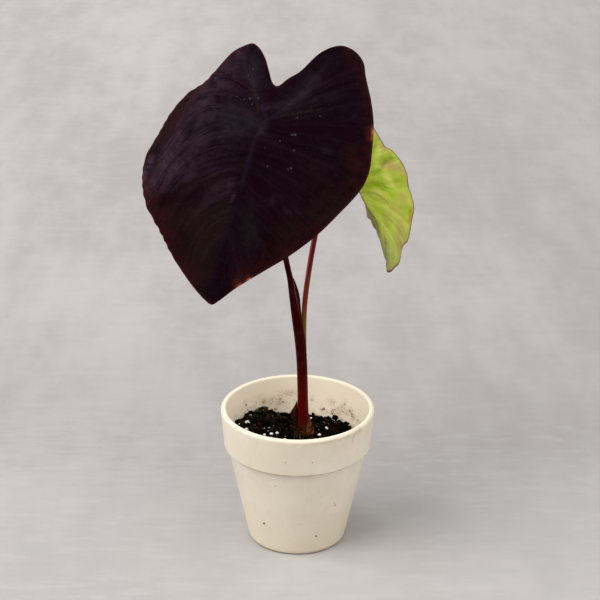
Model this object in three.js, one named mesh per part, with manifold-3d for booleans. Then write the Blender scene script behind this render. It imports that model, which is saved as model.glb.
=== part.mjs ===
// Potted elephant ear (Colocasia) with one dark heart-shaped leaf, one drooping pale leaf,
// their petioles, the corm they grow from, potting soil and a cream ceramic pot.
// Units are millimetres. +Z is up, the origin is the centre of the pot's base,
// and the dark leaf faces -Y.

import * as THREE from 'three';
import { mergeVertices } from 'three/addons/utils/BufferGeometryUtils.js';
import Module from 'manifold-3d';

// ---- driving dimensions ----------------------------------------------------------------

const GAP = 0.3; // clearance between pieces that rest on each other

// pot
const POT_HEIGHT = 106.1;
const RIM_RADIUS = 57.5;
const BAND_HEIGHT = 29.8;
const BAND_FOOT_RADIUS = 54.8;
const BODY_TOP_RADIUS = 52.1;
const BASE_RADIUS = 36.4;
const LIP_WIDTH = 4;
const BAND_STEP_DROP = 0.9;
const FLOOR_THICKNESS = 6;
const FLOOR_RADIUS = 32;
const POT_SEGMENTS = 56;
const DRAIN_COUNT = 3;
const DRAIN_RADIUS = 4;
const DRAIN_RING_RADIUS = 19;

// soil
const SOIL_SIDES = 40;
const SOIL_FOOT_INSET = 5.2; // keeps the soil's foot clear of the pot's rounded inner corner
const SOIL_FOOT_RISE = 5.5;
const WALL_CLEARANCE = 0.4;
const SOIL_LEVEL = 82;
const SOIL_SLOPE = -0.1; // height change along +X
const MOUND_HEIGHT = 3;
const MOUND_SPREAD = 14;
const BACK_DIP = 4.5; // the surface is lower along the back wall
const DIP_Y = [24, 44];
const DIP_X = [-30, -14];

// where the stem stands, in plan
const STEM_X = 4;
const STEM_Y = 5;

// corm, the swollen base under the soil
const CORM_TOP = 81.5;
const CORM_HEIGHT = 27;
const CORM_RADIUS = 12.5;
const CORM_FULLNESS = 0.8; // below 1 the corm is blunter than an ellipsoid
const STEM_HOLE_DEPTH = 3; // how far the hole in the soil reaches below the corm's top

// blades
const BLADE_THICKNESS = 0.9;
const CREASE_ROUNDING = 4; // how gently the pale blade is folded along its midrib

// ---- small helpers -----------------------------------------------------------------------

const wasm = await Module();
wasm.setup();

const radians = THREE.MathUtils.degToRad;
const smooth = THREE.MathUtils.smoothstep;

function vec(coordinates) {
  return new THREE.Vector3(...coordinates);
}

function indexedGeometry(positions, faces) {
  const geometry = new THREE.BufferGeometry();
  geometry.setAttribute('position', new THREE.Float32BufferAttribute(positions, 3));
  geometry.setIndex(faces);
  return geometry;
}

// A closed geometry as a manifold solid, without the triangles that merging has collapsed.
function toSolid(geometry) {
  const bare = geometry.clone();
  bare.deleteAttribute('normal');
  bare.deleteAttribute('uv');
  const merged = mergeVertices(bare, 1e-4);
  const index = merged.index.array;
  const faces = [];
  for (let i = 0; i < index.length; i += 3) {
    const [a, b, c] = index.slice(i, i + 3);
    if (a !== b && b !== c && c !== a) {
      faces.push(a, b, c);
    }
  }
  const vertProperties = Float32Array.from(merged.attributes.position.array);
  const triVerts = Uint32Array.from(faces);
  return new wasm.Manifold(new wasm.Mesh({ numProp: 3, vertProperties, triVerts }));
}

function fromSolid(solid) {
  const mesh = solid.getMesh();
  return indexedGeometry(Array.from(mesh.vertProperties), Array.from(mesh.triVerts));
}

// A profile of [radius, height, rounding] corners, each rounding replaced by an arc.
function roundedProfile(corners, arcSteps) {
  const points = [];
  corners.forEach(([radius, height, rounding], i) => {
    const corner = new THREE.Vector2(radius, height);
    if (!rounding) {
      points.push(corner);
      return;
    }
    const back = new THREE.Vector2(...corners[i - 1].slice(0, 2)).sub(corner).normalize();
    const ahead = new THREE.Vector2(...corners[i + 1].slice(0, 2)).sub(corner).normalize();
    const halfAngle = Math.acos(back.dot(ahead)) / 2;
    const reach = rounding / Math.tan(halfAngle);
    const centre = back.clone().add(ahead).normalize();
    centre.multiplyScalar(rounding / Math.sin(halfAngle)).add(corner);
    const from = back.multiplyScalar(reach).add(corner).sub(centre);
    const to = ahead.multiplyScalar(reach).add(corner).sub(centre);
    const start = from.angle();
    let sweep = to.angle() - start;
    if (sweep > Math.PI) sweep -= 2 * Math.PI;
    if (sweep < -Math.PI) sweep += 2 * Math.PI;
    for (let k = 0; k <= arcSteps; k += 1) {
      const angle = start + (sweep * k) / arcSteps;
      const outward = new THREE.Vector2(Math.cos(angle), Math.sin(angle));
      points.push(outward.multiplyScalar(rounding).add(centre));
    }
  });
  return points;
}

// A solid turned about the Z axis from a profile that starts and ends on the axis.
function turned(profile, segments) {
  return new THREE.LatheGeometry(profile, segments).rotateX(Math.PI / 2);
}

// Joins rings of points into one closed body. Each ring has the same number of points,
// and a fan from its middle closes each end.
function closedRings(rings, startMiddle, endMiddle) {
  const count = rings[0].length;
  const positions = [startMiddle, ...rings.flat(), endMiddle].flatMap((p) => p.toArray());
  const at = (ring, i) => 1 + ring * count + (i % count);
  const last = 1 + rings.length * count;
  const faces = [];
  for (let i = 0; i < count; i += 1) {
    faces.push(0, at(0, i + 1), at(0, i));
    faces.push(last, at(rings.length - 1, i), at(rings.length - 1, i + 1));
    for (let ring = 0; ring < rings.length - 1; ring += 1) {
      faces.push(at(ring, i), at(ring, i + 1), at(ring + 1, i + 1));
      faces.push(at(ring, i), at(ring + 1, i + 1), at(ring + 1, i));
    }
  }
  return indexedGeometry(positions, faces);
}

// A stalk through stations [x, y, z, half width, half depth], thickened by an extra margin.
function stalk(stations, steps, sides, margin = 0) {
  const centres = new THREE.CatmullRomCurve3(stations.map((s) => vec(s.slice(0, 3))));
  const sizes = new THREE.CatmullRomCurve3(stations.map((s) => new THREE.Vector3(s[3], s[4], 0)));
  const rings = [];
  for (let k = 0; k <= steps; k += 1) {
    const t = k / steps;
    const centre = centres.getPoint(t);
    const along = centres.getTangent(t);
    const size = sizes.getPoint(t);
    const depthWay = new THREE.Vector3().crossVectors(along, new THREE.Vector3(1, 0, 0)).normalize();
    const widthWay = new THREE.Vector3().crossVectors(depthWay, along);
    const ring = [];
    for (let i = 0; i < sides; i += 1) {
      const angle = (2 * Math.PI * i) / sides;
      const point = centre.clone();
      point.addScaledVector(widthWay, Math.cos(angle) * (size.x + margin));
      point.addScaledVector(depthWay, Math.sin(angle) * (size.y + margin));
      ring.push(point);
    }
    rings.push(ring);
  }
  return closedRings(rings, centres.getPoint(0), centres.getPoint(1));
}

// ---- soil surface ------------------------------------------------------------------------

function soilHeight(x, y) {
  const fromStem = Math.hypot(x - STEM_X, y - STEM_Y);
  const mound = MOUND_HEIGHT * Math.exp(-((fromStem / MOUND_SPREAD) ** 2));
  const dip = BACK_DIP * smooth(y, ...DIP_Y) * smooth(x, ...DIP_X);
  return SOIL_LEVEL + SOIL_SLOPE * x + mound - dip;
}

function innerRadius(z) {
  const share = (POT_HEIGHT - z) / (POT_HEIGHT - FLOOR_THICKNESS);
  return RIM_RADIUS - LIP_WIDTH + (FLOOR_RADIUS - RIM_RADIUS + LIP_WIDTH) * share;
}

// ---- pot ---------------------------------------------------------------------------------

function potGeometry() {
  const bandFoot = POT_HEIGHT - BAND_HEIGHT;
  const profile = roundedProfile([
    [0, 0, 0],
    [BASE_RADIUS, 0, 1.8],
    [BODY_TOP_RADIUS, bandFoot - BAND_STEP_DROP, 0.8],
    [BAND_FOOT_RADIUS, bandFoot, 1.6],
    [RIM_RADIUS, POT_HEIGHT, 2],
    [RIM_RADIUS - LIP_WIDTH, POT_HEIGHT, 1.6],
    [FLOOR_RADIUS, FLOOR_THICKNESS, 5],
    [0, FLOOR_THICKNESS, 0],
  ], 4);
  let pot = toSolid(turned(profile, POT_SEGMENTS));
  for (let i = 0; i < DRAIN_COUNT; i += 1) {
    const angle = radians(90 + (360 * i) / DRAIN_COUNT);
    const drill = new THREE.CylinderGeometry(DRAIN_RADIUS, DRAIN_RADIUS, 3 * FLOOR_THICKNESS, 20);
    drill.rotateX(Math.PI / 2);
    drill.translate(DRAIN_RING_RADIUS * Math.cos(angle), DRAIN_RING_RADIUS * Math.sin(angle), 0);
    pot = pot.subtract(toSolid(drill));
  }
  return fromSolid(pot);
}

// ---- corm and soil -----------------------------------------------------------------------

function cormProfile(margin) {
  const middle = CORM_TOP - CORM_HEIGHT / 2;
  const points = [];
  const steps = 12;
  for (let k = 0; k <= steps; k += 1) {
    const angle = -Math.PI / 2 + (Math.PI * k) / steps;
    const radius = (CORM_RADIUS + margin) * Math.cos(angle) ** CORM_FULLNESS;
    const height = middle + (CORM_HEIGHT / 2 + margin) * Math.sin(angle);
    points.push(new THREE.Vector2(k % steps === 0 ? 0 : radius, height));
  }
  return points;
}

function cormGeometry(margin = 0, sides = 20) {
  return turned(cormProfile(margin), sides).translate(STEM_X, STEM_Y, 0);
}

function soilGeometry(stemHole) {
  const levels = [
    [FLOOR_THICKNESS + GAP, SOIL_FOOT_INSET],
    [FLOOR_THICKNESS + SOIL_FOOT_RISE, GAP],
    [SOIL_LEVEL / 2, GAP],
  ];
  const rings = levels.map(([z, inset]) => (
    circle(innerRadius(z) - inset, SOIL_SIDES).map(([x, y]) => new THREE.Vector3(x, y, z))
  ));
  const edge = innerRadius(SOIL_LEVEL);
  for (const share of [1, 0.86, 0.7, 0.52, 0.34, 0.16]) {
    rings.push(circle(1, SOIL_SIDES).map(([x, y]) => {
      const wall = innerRadius(soilHeight(edge * x, edge * y)) - WALL_CLEARANCE;
      const at = [wall * share * x, wall * share * y];
      return new THREE.Vector3(...at, soilHeight(...at));
    }));
  }
  const below = new THREE.Vector3(0, 0, FLOOR_THICKNESS + GAP);
  const above = new THREE.Vector3(0, 0, soilHeight(0, 0));
  const soil = toSolid(closedRings(rings, below, above));
  return fromSolid(soil.subtract(toSolid(cormGeometry(GAP)).add(stemHole)));
}

function circle(radius, sides) {
  const points = [];
  for (let i = 0; i < sides; i += 1) {
    const angle = (2 * Math.PI * i) / sides;
    points.push([radius * Math.cos(angle), radius * Math.sin(angle)]);
  }
  return points;
}

// ---- blades ------------------------------------------------------------------------------

// Axes of a blade: 'tip' points from the petiole to the tip, 'side' to the right of it,
// and 'face' out of the blade. rise lifts the face, yaw turns it and lean swings the tip.
function bladeAxes(rise, yaw, lean) {
  const face = new THREE.Vector3(
    -Math.sin(yaw) * Math.cos(rise),
    -Math.cos(yaw) * Math.cos(rise),
    Math.sin(rise),
  );
  const down = new THREE.Vector3(0, 0, -1).addScaledVector(face, face.z).normalize();
  const right = new THREE.Vector3().crossVectors(face, down);
  const tip = down.clone().multiplyScalar(Math.cos(lean)).addScaledVector(right, -Math.sin(lean));
  const side = new THREE.Vector3().crossVectors(face, tip);
  return { side, tip, face };
}

// The dark blade is a shallow shield that falls away from its petiole on all sides.
const MAIN_LEAF = {
  joint: [-21, -8, 329],
  axes: bladeAxes(radians(28), radians(5), radians(16)),
  outline: [
    [73.5, -5], [69.5, -20.5], [62.5, -36], [53, -52.5], [48, -61.5], [39.5, -67],
    [29.5, -67.5], [18.5, -59], [8.5, -40.5], [2.5, -33.5], [-3, -26], [-6.5, -27],
    [-12, -34.5], [-18, -43], [-24.5, -48.5], [-29.5, -50], [-35.5, -46], [-41, -40],
    [-47.5, -26], [-54, -13.5], [-64.5, -3], [-71, 10.5], [-75.5, 26.5], [-79.5, 44.5],
    [-75.5, 63], [-66, 80], [-51.5, 94], [-36.5, 109], [-18.5, 122.5], [-4.5, 130.5],
    [2, 132.5], [5.5, 129], [14.5, 116.5], [30, 98.5], [42.5, 84], [56, 64.5], [65.5, 46],
    [75, 24], [76.5, 11.5],
  ],
  bend(u, v) {
    return { side: u, face: 0.06 - 0.0013 * u * u - 0.0006 * (v - 10) ** 2 };
  },
};

// The pale blade is folded back along its midrib, most of all on its left side near the
// petiole, and its tip hooks to the left.
const SECOND_LEAF = {
  joint: [33, 22, 291],
  axes: bladeAxes(radians(12), radians(24), radians(-34)),
  outline: [
    [38.5, -2.5], [37.5, -13], [33, -26], [25, -35], [15, -33], [7, -24], [-1, -12], [-8, -24],
    [-16, -31], [-25, -29], [-33, -20], [-38, -8], [-41, 6], [-40, 20], [-37.5, 31], [-33, 38],
    [-23, 42.5], [-12.5, 46.5], [-9.5, 52.5], [-5.5, 57.5], [-8, 60.5], [-7.5, 66], [-7, 73],
    [-6, 79.5], [-6.5, 83.5], [-1, 85.5], [4.5, 84], [8.5, 83], [13, 75], [15.5, 72], [19, 71],
    [24, 65.5], [29.5, 58.5], [36.5, 50], [39, 41.5], [41.5, 34], [45.5, 25.5], [45.5, 14.5],
    [43.5, 6], [39, 1.5],
  ],
  bend(u, v) {
    const fold = radians(u > 0 ? 57 : 78 - 34 * smooth(v, 20, 62));
    const crease = Math.hypot(u, CREASE_ROUNDING) - CREASE_ROUNDING;
    const hook = 0.0006 * v * v - 0.0075 * Math.max(0, v - 45) ** 2;
    return { side: u * Math.cos(fold) + hook, face: -crease * Math.sin(fold) - 0.00096 * v * v };
  },
};

function bladePoint(leaf, u, v) {
  const { side, face } = leaf.bend(u, v);
  const point = vec(leaf.joint);
  point.addScaledVector(leaf.axes.side, side);
  point.addScaledVector(leaf.axes.tip, v);
  return point.addScaledVector(leaf.axes.face, face);
}

function bladeNormal(leaf, u, v) {
  const step = 0.5;
  const across = bladePoint(leaf, u + step, v).sub(bladePoint(leaf, u - step, v));
  const along = bladePoint(leaf, u, v + step).sub(bladePoint(leaf, u, v - step));
  const normal = across.cross(along).normalize();
  return normal.dot(leaf.axes.face) < 0 ? normal.negate() : normal;
}

// Two skins of rings around the petiole, joined along the margin.
function bladeGeometry(leaf, spokes, ringCount) {
  const margin = new THREE.CatmullRomCurve3(leaf.outline.map(([u, v]) => new THREE.Vector3(u, v, 0)), true);
  const rim = margin.getSpacedPoints(spokes).slice(0, spokes);
  const skinPoint = (u, v, offset) => (
    bladePoint(leaf, u, v).addScaledVector(bladeNormal(leaf, u, v), offset)
  );
  const skinRing = (share, offset) => rim.map((p) => skinPoint(p.x * share, p.y * share, offset));
  const half = BLADE_THICKNESS / 2;
  const shares = [];
  for (let k = 1; k <= ringCount; k += 1) {
    shares.push(k / ringCount);
  }
  const back = shares.map((share) => skinRing(share, -half));
  const front = shares.map((share) => skinRing(share, half)).reverse();
  return closedRings([...back, ...front], skinPoint(0, 0, -half), skinPoint(0, 0, half));
}

// A point this far in front of the blade's middle surface at its petiole joint.
function offBlade(leaf, distance) {
  return vec(leaf.joint).addScaledVector(leaf.axes.face, distance);
}

// ---- petioles ----------------------------------------------------------------------------

const STEM_FOOT = CORM_TOP + GAP;

// The dark petiole widens into a sheath below z = 210 and flares at the soil.
const MAIN_STATIONS = [
  [STEM_X, STEM_Y, STEM_FOOT, 6.6, 6.2],
  [4, 5, 88, 5.6, 5.4],
  [4, 4.8, 96, 4.4, 4.5],
  [3.9, 4.6, 106, 4, 4.2],
  [3.6, 4.2, 121, 3.9, 4.2],
  [2.9, 3.6, 141, 3.9, 4.1],
  [1.5, 3, 159, 4, 4],
  [-0.8, 2.5, 175, 3.7, 3.6],
  [-2, 2.2, 187, 3.6, 2.9],
  [-3.5, 2, 198, 3, 2.4],
  [-5.6, 2, 209, 2.2, 2.2],
  [-8.8, 2.2, 223, 2.1, 2.1],
  [-12.7, 3, 242, 2.1, 2.1],
  [-16.6, 4.6, 269, 2.1, 2.1],
  [-19.3, 6.4, 300, 2.2, 2.1],
  [-20.4, 5.4, 317, 2.3, 2.2],
  [...offBlade(MAIN_LEAF, -7).toArray(), 2.5, 2.4],
  [...offBlade(MAIN_LEAF, -1.3).toArray(), 2.7, 2.7],
];

// The second petiole leaves the sheath at about z = 165 and arches over to the right.
const SECOND_STATIONS = [
  [5.4, 6.6, STEM_FOOT, 1.7, 1.7],
  [5.4, 7.4, 105, 1.8, 1.8],
  [5.1, 7.6, 125, 1.9, 1.9],
  [4.4, 7.6, 145, 1.9, 1.9],
  [4.1, 8, 165, 1.9, 1.9],
  [4.6, 9, 184, 1.9, 1.9],
  [7.2, 11, 208, 1.9, 1.9],
  [11.5, 14, 235, 1.9, 1.9],
  [15.9, 15.8, 256, 1.8, 1.8],
  [20.8, 16.2, 274, 1.8, 1.8],
  [25.6, 16, 284.5, 1.8, 1.8],
  [29.4, 17, 290, 1.8, 1.8],
  [...offBlade(SECOND_LEAF, 1.5).toArray(), 2, 2],
];

// The sheath keeps an open channel in which the second petiole stands.
function mainPetioleGeometry() {
  const channel = toSolid(stalk(SECOND_STATIONS, 36, 12, GAP));
  return fromSolid(toSolid(stalk(MAIN_STATIONS, 34, 14)).subtract(channel));
}

// ---- old sheaths around the foot of the stem ---------------------------------------------

// A thin upright plate bent around the stem. It narrows from its foot to its top.
function sheathGeometry({ middle, footSpan, topSpan, foot, top, footRadius, topRadius, thickness }) {
  const columns = 8;
  const rows = 6;
  const rings = [];
  for (let row = 0; row <= rows; row += 1) {
    const t = row / rows;
    const span = radians(THREE.MathUtils.lerp(footSpan, topSpan, t));
    const inner = THREE.MathUtils.lerp(footRadius, topRadius, t);
    const z = THREE.MathUtils.lerp(foot, top, t);
    const ring = [];
    for (let i = 0; i <= columns; i += 1) {
      ring.push([inner + thickness, radians(middle) + span * (i / columns - 0.5)]);
    }
    for (let i = columns; i >= 0; i -= 1) {
      ring.push([inner, radians(middle) + span * (i / columns - 0.5)]);
    }
    rings.push(ring.map(([r, angle]) => (
      new THREE.Vector3(STEM_X + r * Math.cos(angle), STEM_Y + r * Math.sin(angle), z)
    )));
  }
  const middleOf = (ring) => ring[columns / 2].clone().add(ring[columns * 1.5 + 1]).multiplyScalar(0.5);
  return closedRings(rings, middleOf(rings[0]), middleOf(rings[rows]));
}

const LEFT_SHEATH = {
  middle: 192,
  footSpan: 84,
  topSpan: 14,
  foot: 85.4,
  top: 108.5,
  footRadius: 11.5,
  topRadius: 4.8,
  thickness: 0.8,
};

const RIGHT_SHEATH = {
  middle: -28,
  footSpan: 110,
  topSpan: 50,
  foot: 85.4,
  top: 99,
  footRadius: 7.6,
  topRadius: 5.2,
  thickness: 0.9,
};

// ---- granules, clods and moss on the soil -------------------------------------------------

// A repeatable number from 0 to 1 for a pair of whole numbers.
function scatter(seed, i) {
  const wave = Math.sin(seed * 12.9898 + i * 78.233) * 43758.5453;
  return wave - Math.floor(wave);
}

function lumpGeometry(radii, roughness, detail, seed) {
  const ball = new THREE.IcosahedronGeometry(1, detail);
  ball.deleteAttribute('normal');
  ball.deleteAttribute('uv');
  const lump = mergeVertices(ball, 1e-4);
  const position = lump.attributes.position;
  for (let i = 0; i < position.count; i += 1) {
    const swell = 1 - roughness * scatter(seed, i);
    const point = new THREE.Vector3().fromBufferAttribute(position, i).multiplyScalar(swell);
    position.setXYZ(i, point.x * radii[0], point.y * radii[1], point.z * radii[2]);
  }
  return lump;
}

// Perlite granules as [x, y, radius].
const GRANULES = [
  [-38, 12, 2.1], [-38.3, 1, 1.7], [-19.4, -3, 1.6], [-15.5, -1, 1.7], [-24.8, -5.8, 1.4], [-21, 6.8, 1.3],
  [21.6, 14, 1.8], [10.8, 36, 1.4], [21.3, 38.6, 1.4], [16.2, 8.5, 1.3], [16.3, 0, 1.7], [-9.4, -9.8, 1.5],
];

const CLODS = [
  { name: 'soil_clod_back', at: [29, 31.5], radii: [3.2, 2.6, 2.6] },
  { name: 'soil_clod_right', at: [37.2, 21.5], radii: [2.8, 3, 2.4] },
];

const MOSS = { at: [-27.5, 31.5], turn: radians(42), radii: [7, 3.4, 2] };

// Rests a lump on the soil: its lowest point clears the highest soil under it.
function restOnSoil(mesh, x, y) {
  mesh.geometry.computeBoundingBox();
  const { min, max } = mesh.geometry.boundingBox;
  let ground = -Infinity;
  for (let i = 0; i <= 8; i += 1) {
    for (let k = 0; k <= 8; k += 1) {
      const u = THREE.MathUtils.lerp(min.x, max.x, i / 8);
      const v = THREE.MathUtils.lerp(min.y, max.y, k / 8);
      ground = Math.max(ground, soilHeight(x + u, y + v));
    }
  }
  mesh.position.set(x, y, ground + GAP - min.z);
}

// ---- assembly ----------------------------------------------------------------------------

const plant = new THREE.Group();

function addPiece(parent, name, geometry, colour, roughness) {
  const material = new THREE.MeshStandardMaterial({ color: colour, roughness, metalness: 0 });
  const mesh = new THREE.Mesh(geometry, material);
  mesh.name = name;
  parent.add(mesh);
  return mesh;
}

const holeBottom = [STEM_X, STEM_Y, CORM_TOP - STEM_HOLE_DEPTH, ...MAIN_STATIONS[0].slice(3)];
const stemHole = toSolid(stalk([holeBottom, ...MAIN_STATIONS.slice(0, 3)], 6, 16, GAP));

addPiece(plant, 'pot', potGeometry(), 0xded2ba, 0.5);
addPiece(plant, 'soil', soilGeometry(stemHole), 0x1d1710, 0.95);
addPiece(plant, 'corm', cormGeometry(), 0x5a3d26, 0.8);
addPiece(plant, 'petiole_main', mainPetioleGeometry(), 0x3a0a10, 0.35);
addPiece(plant, 'petiole_second', stalk(SECOND_STATIONS, 36, 12), 0x5c2318, 0.4);
addPiece(plant, 'leaf_main', bladeGeometry(MAIN_LEAF, 72, 6), 0x1c141a, 0.45);
addPiece(plant, 'leaf_second', bladeGeometry(SECOND_LEAF, 68, 6), 0xa6be3c, 0.55);
addPiece(plant, 'old_sheath_left', sheathGeometry(LEFT_SHEATH), 0x4a2c1a, 0.85);
addPiece(plant, 'old_sheath_right', sheathGeometry(RIGHT_SHEATH), 0x7a4a24, 0.85);

const surface = new THREE.Group();
plant.add(surface);

GRANULES.forEach(([x, y, radius], i) => {
  const name = `perlite_${String(i + 1).padStart(2, '0')}`;
  const geometry = lumpGeometry([radius, radius * 0.86, radius * 0.78], 0.22, 1, i + 1);
  restOnSoil(addPiece(surface, name, geometry, 0xe9e6de, 0.9), x, y);
});

CLODS.forEach(({ name, at, radii }, i) => {
  restOnSoil(addPiece(surface, name, lumpGeometry(radii, 0.3, 1, 40 + i), 0x1a140d, 0.95), ...at);
});

const mossGeometry = lumpGeometry(MOSS.radii, 0.2, 2, 60).rotateZ(MOSS.turn);
restOnSoil(addPiece(surface, 'moss_patch', mossGeometry, 0x3c4a18, 0.95), ...MOSS.at);

export default plant;
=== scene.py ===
# Looks for a potted elephant ear plant: two blades, two petioles, the sheaths at the foot of
# the stem, the soil with what lies on it, and a cream pot. Shapes are worked out in
# millimetres and scaled to metres when a mesh is made. +Z is up and the plant faces -Y.

import math

import bmesh
import bpy
import numpy as np
from mathutils import Matrix, Vector, noise


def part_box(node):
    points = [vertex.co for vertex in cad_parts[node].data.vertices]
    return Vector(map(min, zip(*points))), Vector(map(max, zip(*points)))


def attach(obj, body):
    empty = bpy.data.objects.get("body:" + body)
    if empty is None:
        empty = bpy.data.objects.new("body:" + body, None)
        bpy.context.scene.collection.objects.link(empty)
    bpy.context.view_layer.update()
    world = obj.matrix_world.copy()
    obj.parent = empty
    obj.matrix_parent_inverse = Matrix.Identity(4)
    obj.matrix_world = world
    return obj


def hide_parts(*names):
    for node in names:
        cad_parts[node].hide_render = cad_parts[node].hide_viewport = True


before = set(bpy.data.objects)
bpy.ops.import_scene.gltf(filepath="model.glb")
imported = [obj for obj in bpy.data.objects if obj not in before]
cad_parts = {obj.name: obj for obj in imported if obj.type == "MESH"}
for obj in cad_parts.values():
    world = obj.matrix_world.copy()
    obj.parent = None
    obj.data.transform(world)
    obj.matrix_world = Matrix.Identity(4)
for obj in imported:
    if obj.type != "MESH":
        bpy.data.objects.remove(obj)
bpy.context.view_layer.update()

# a millimetre in metres, the space left between neighbouring pieces, and the main seed
MM = 0.001
GAP = 0.3
SEED = 17
rng = np.random.default_rng(SEED)

# ---- numbers shared with the frame ------------------------------------------------------

POT_HEIGHT = 106.1
RIM_RADIUS = 57.5
BAND_HEIGHT = 29.8
BAND_FOOT = POT_HEIGHT - BAND_HEIGHT
BAND_FOOT_RADIUS = 54.8
BODY_TOP_RADIUS = 52.1
BASE_RADIUS = 36.4
LIP_WIDTH = 4
BAND_STEP_DROP = 0.9
FLOOR_THICKNESS = 6
FLOOR_RADIUS = 32
DRAIN_COUNT = 3
DRAIN_RADIUS = 4
DRAIN_RING_RADIUS = 19

SOIL_LEVEL = 82
SOIL_SLOPE = -0.1
MOUND_HEIGHT = 3
MOUND_SPREAD = 14
BACK_DIP = 4.5

STEM = np.array([4.0, 5.0])
CORM_TOP = 81.5
CORM_HEIGHT = 27
CORM_RADIUS = 12.5
CORM_MIDDLE = CORM_TOP - CORM_HEIGHT / 2
STEM_FOOT = CORM_TOP + GAP

# ---- arithmetic helpers -----------------------------------------------------------------


def smooth(x, low, high):
    """0 below low, 1 above high and an easy slope between."""
    t = np.clip((np.asarray(x, float) - low) / (high - low), 0, 1)
    return t * t * (3 - 2 * t)


def mix(a, b, t):
    return a + (b - a) * t


def unit(v):
    v = np.asarray(v, float)
    return v / np.linalg.norm(v, axis=-1, keepdims=True)


def turbulence(points, wavelength, octaves=3, shift=0.0):
    """Fractal noise of about -1 to 1 at each point, for a wavelength in the points' own unit."""
    move = Vector((shift, shift * 0.7, -shift * 0.4))
    places = [Vector(p).to_3d() / wavelength + move for p in np.asarray(points).tolist()]
    return np.array([noise.fractal(place, 1.0, 2.0, octaves) for place in places])


def spline(points, per_segment, closed=False):
    """Centripetal Catmull-Rom curve through the points, with a number of steps per segment."""
    pts = [np.asarray(p, float) for p in points]
    n = len(pts)
    out = []
    for i in range(n if closed else n - 1):
        if closed:
            p0, p1, p2, p3 = (pts[(i + k) % n] for k in (-1, 0, 1, 2))
        else:
            p1, p2 = pts[i], pts[i + 1]
            p0 = pts[i - 1] if i else 2 * p1 - p2
            p3 = pts[i + 2] if i + 2 < n else 2 * p2 - p1
        d1 = max(np.linalg.norm(p1 - p0), 1e-6) ** 0.5
        d2 = max(np.linalg.norm(p2 - p1), 1e-6) ** 0.5
        d3 = max(np.linalg.norm(p3 - p2), 1e-6) ** 0.5
        m1 = (p1 - p0) / d1 - (p2 - p0) / (d1 + d2) + (p2 - p1) / d2
        m2 = (p2 - p1) / d2 - (p3 - p1) / (d2 + d3) + (p3 - p2) / d3
        m1, m2 = m1 * d2, m2 * d2
        for k in range(per_segment):
            t = k / per_segment
            a, b = 2 * t ** 3 - 3 * t ** 2 + 1, t ** 3 - 2 * t ** 2 + t
            c, d = -2 * t ** 3 + 3 * t ** 2, t ** 3 - t ** 2
            out.append(a * p1 + b * m1 + c * p2 + d * m2)
    if not closed:
        out.append(pts[-1])
    return np.array(out)


def even(points, count, closed=False):
    """The same line with its points an equal distance apart."""
    line = np.vstack([points, points[:1]]) if closed else np.asarray(points)
    run = np.concatenate([[0], np.cumsum(np.linalg.norm(np.diff(line, axis=0), axis=1))])
    at = np.linspace(0, run[-1], count + 1 if closed else count)
    if closed:
        at = at[:-1]
    return np.stack([np.interp(at, run, line[:, k]) for k in range(line.shape[1])], axis=1)


def line_distance(points, line):
    """Distance of each point from a line of points, and how far along it the nearest place is."""
    start, step = line[:-1], np.diff(line, axis=0)
    square = (step ** 2).sum(1)
    best = np.full(len(points), 1e9)
    along = np.zeros(len(points))
    for i in range(len(start)):
        t = np.clip((points - start[i]) @ step[i] / max(square[i], 1e-9), 0, 1)
        d = np.linalg.norm(points - (start[i] + t[:, None] * step[i]), axis=1)
        nearer = d < best
        best = np.where(nearer, d, best)
        along = np.where(nearer, (i + t) / len(start), along)
    return best, along


def spots(points, marks):
    """The strongest of some soft round spots, each (x, y, radius)."""
    out = np.zeros(len(points))
    for x, y, radius in marks:
        away = np.linalg.norm(points - np.array([x, y]), axis=1)
        out = np.maximum(out, np.exp(-(away / radius) ** 2))
    return out


def circle(count, turn=0.0):
    """Angles spread evenly over a full turn, the first one turned by a share of a step."""
    return 2 * math.pi * (np.arange(count) + turn) / count


def half_turn(angles):
    """The same angles between minus and plus half a turn."""
    return (angles + math.pi) % (2 * math.pi) - math.pi


def polar(radius, angles, height, middle=(0, 0)):
    """Points at some radius and height round a middle."""
    x, y = middle[0] + radius * np.cos(angles), middle[1] + radius * np.sin(angles)
    return np.column_stack(np.broadcast_arrays(x, y, height))


def oval(angles, wide, deep):
    """The reach of an oval at each angle."""
    return 1 / np.sqrt((np.cos(angles) / wide) ** 2 + (np.sin(angles) / deep) ** 2)


def strokes(points, lines, fade=0.0):
    """The strongest of some soft strokes, each (half width, strength, line)."""
    out = np.zeros(len(points))
    for width, strength, line in lines:
        path = spline(line, 6) if len(line) > 2 else np.array(line, float)
        away, along = line_distance(points, path)
        out = np.maximum(out, strength * (1 - fade * along) * np.exp(-(away / width) ** 2))
    return out


# ---- mesh helpers -----------------------------------------------------------------------


def placed(name, data):
    """A new object with this data, put in the scene."""
    made = bpy.data.objects.new(name, data)
    bpy.context.scene.collection.objects.link(made)
    return made


def mesh_of(name, points, faces):
    """A mesh from points in millimetres."""
    mesh = bpy.data.meshes.new(name)
    mesh.from_pydata((np.asarray(points, float) * MM).tolist(), [], faces)
    return mesh


def cad_box(name):
    """The middle and the half size of a CAD node, in millimetres."""
    low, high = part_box(name)
    return np.array((low + high) / 2 / MM), np.array((high - low) / 2 / MM)


def ring_faces(rings, count, first=0):
    """Quads between neighbouring rings of the same number of points."""
    faces = []
    for r in range(rings - 1):
        a, b = first + r * count, first + (r + 1) * count
        for i in range(count):
            j = (i + 1) % count
            faces.append((a + i, a + j, b + j, b + i))
    return faces


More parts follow.
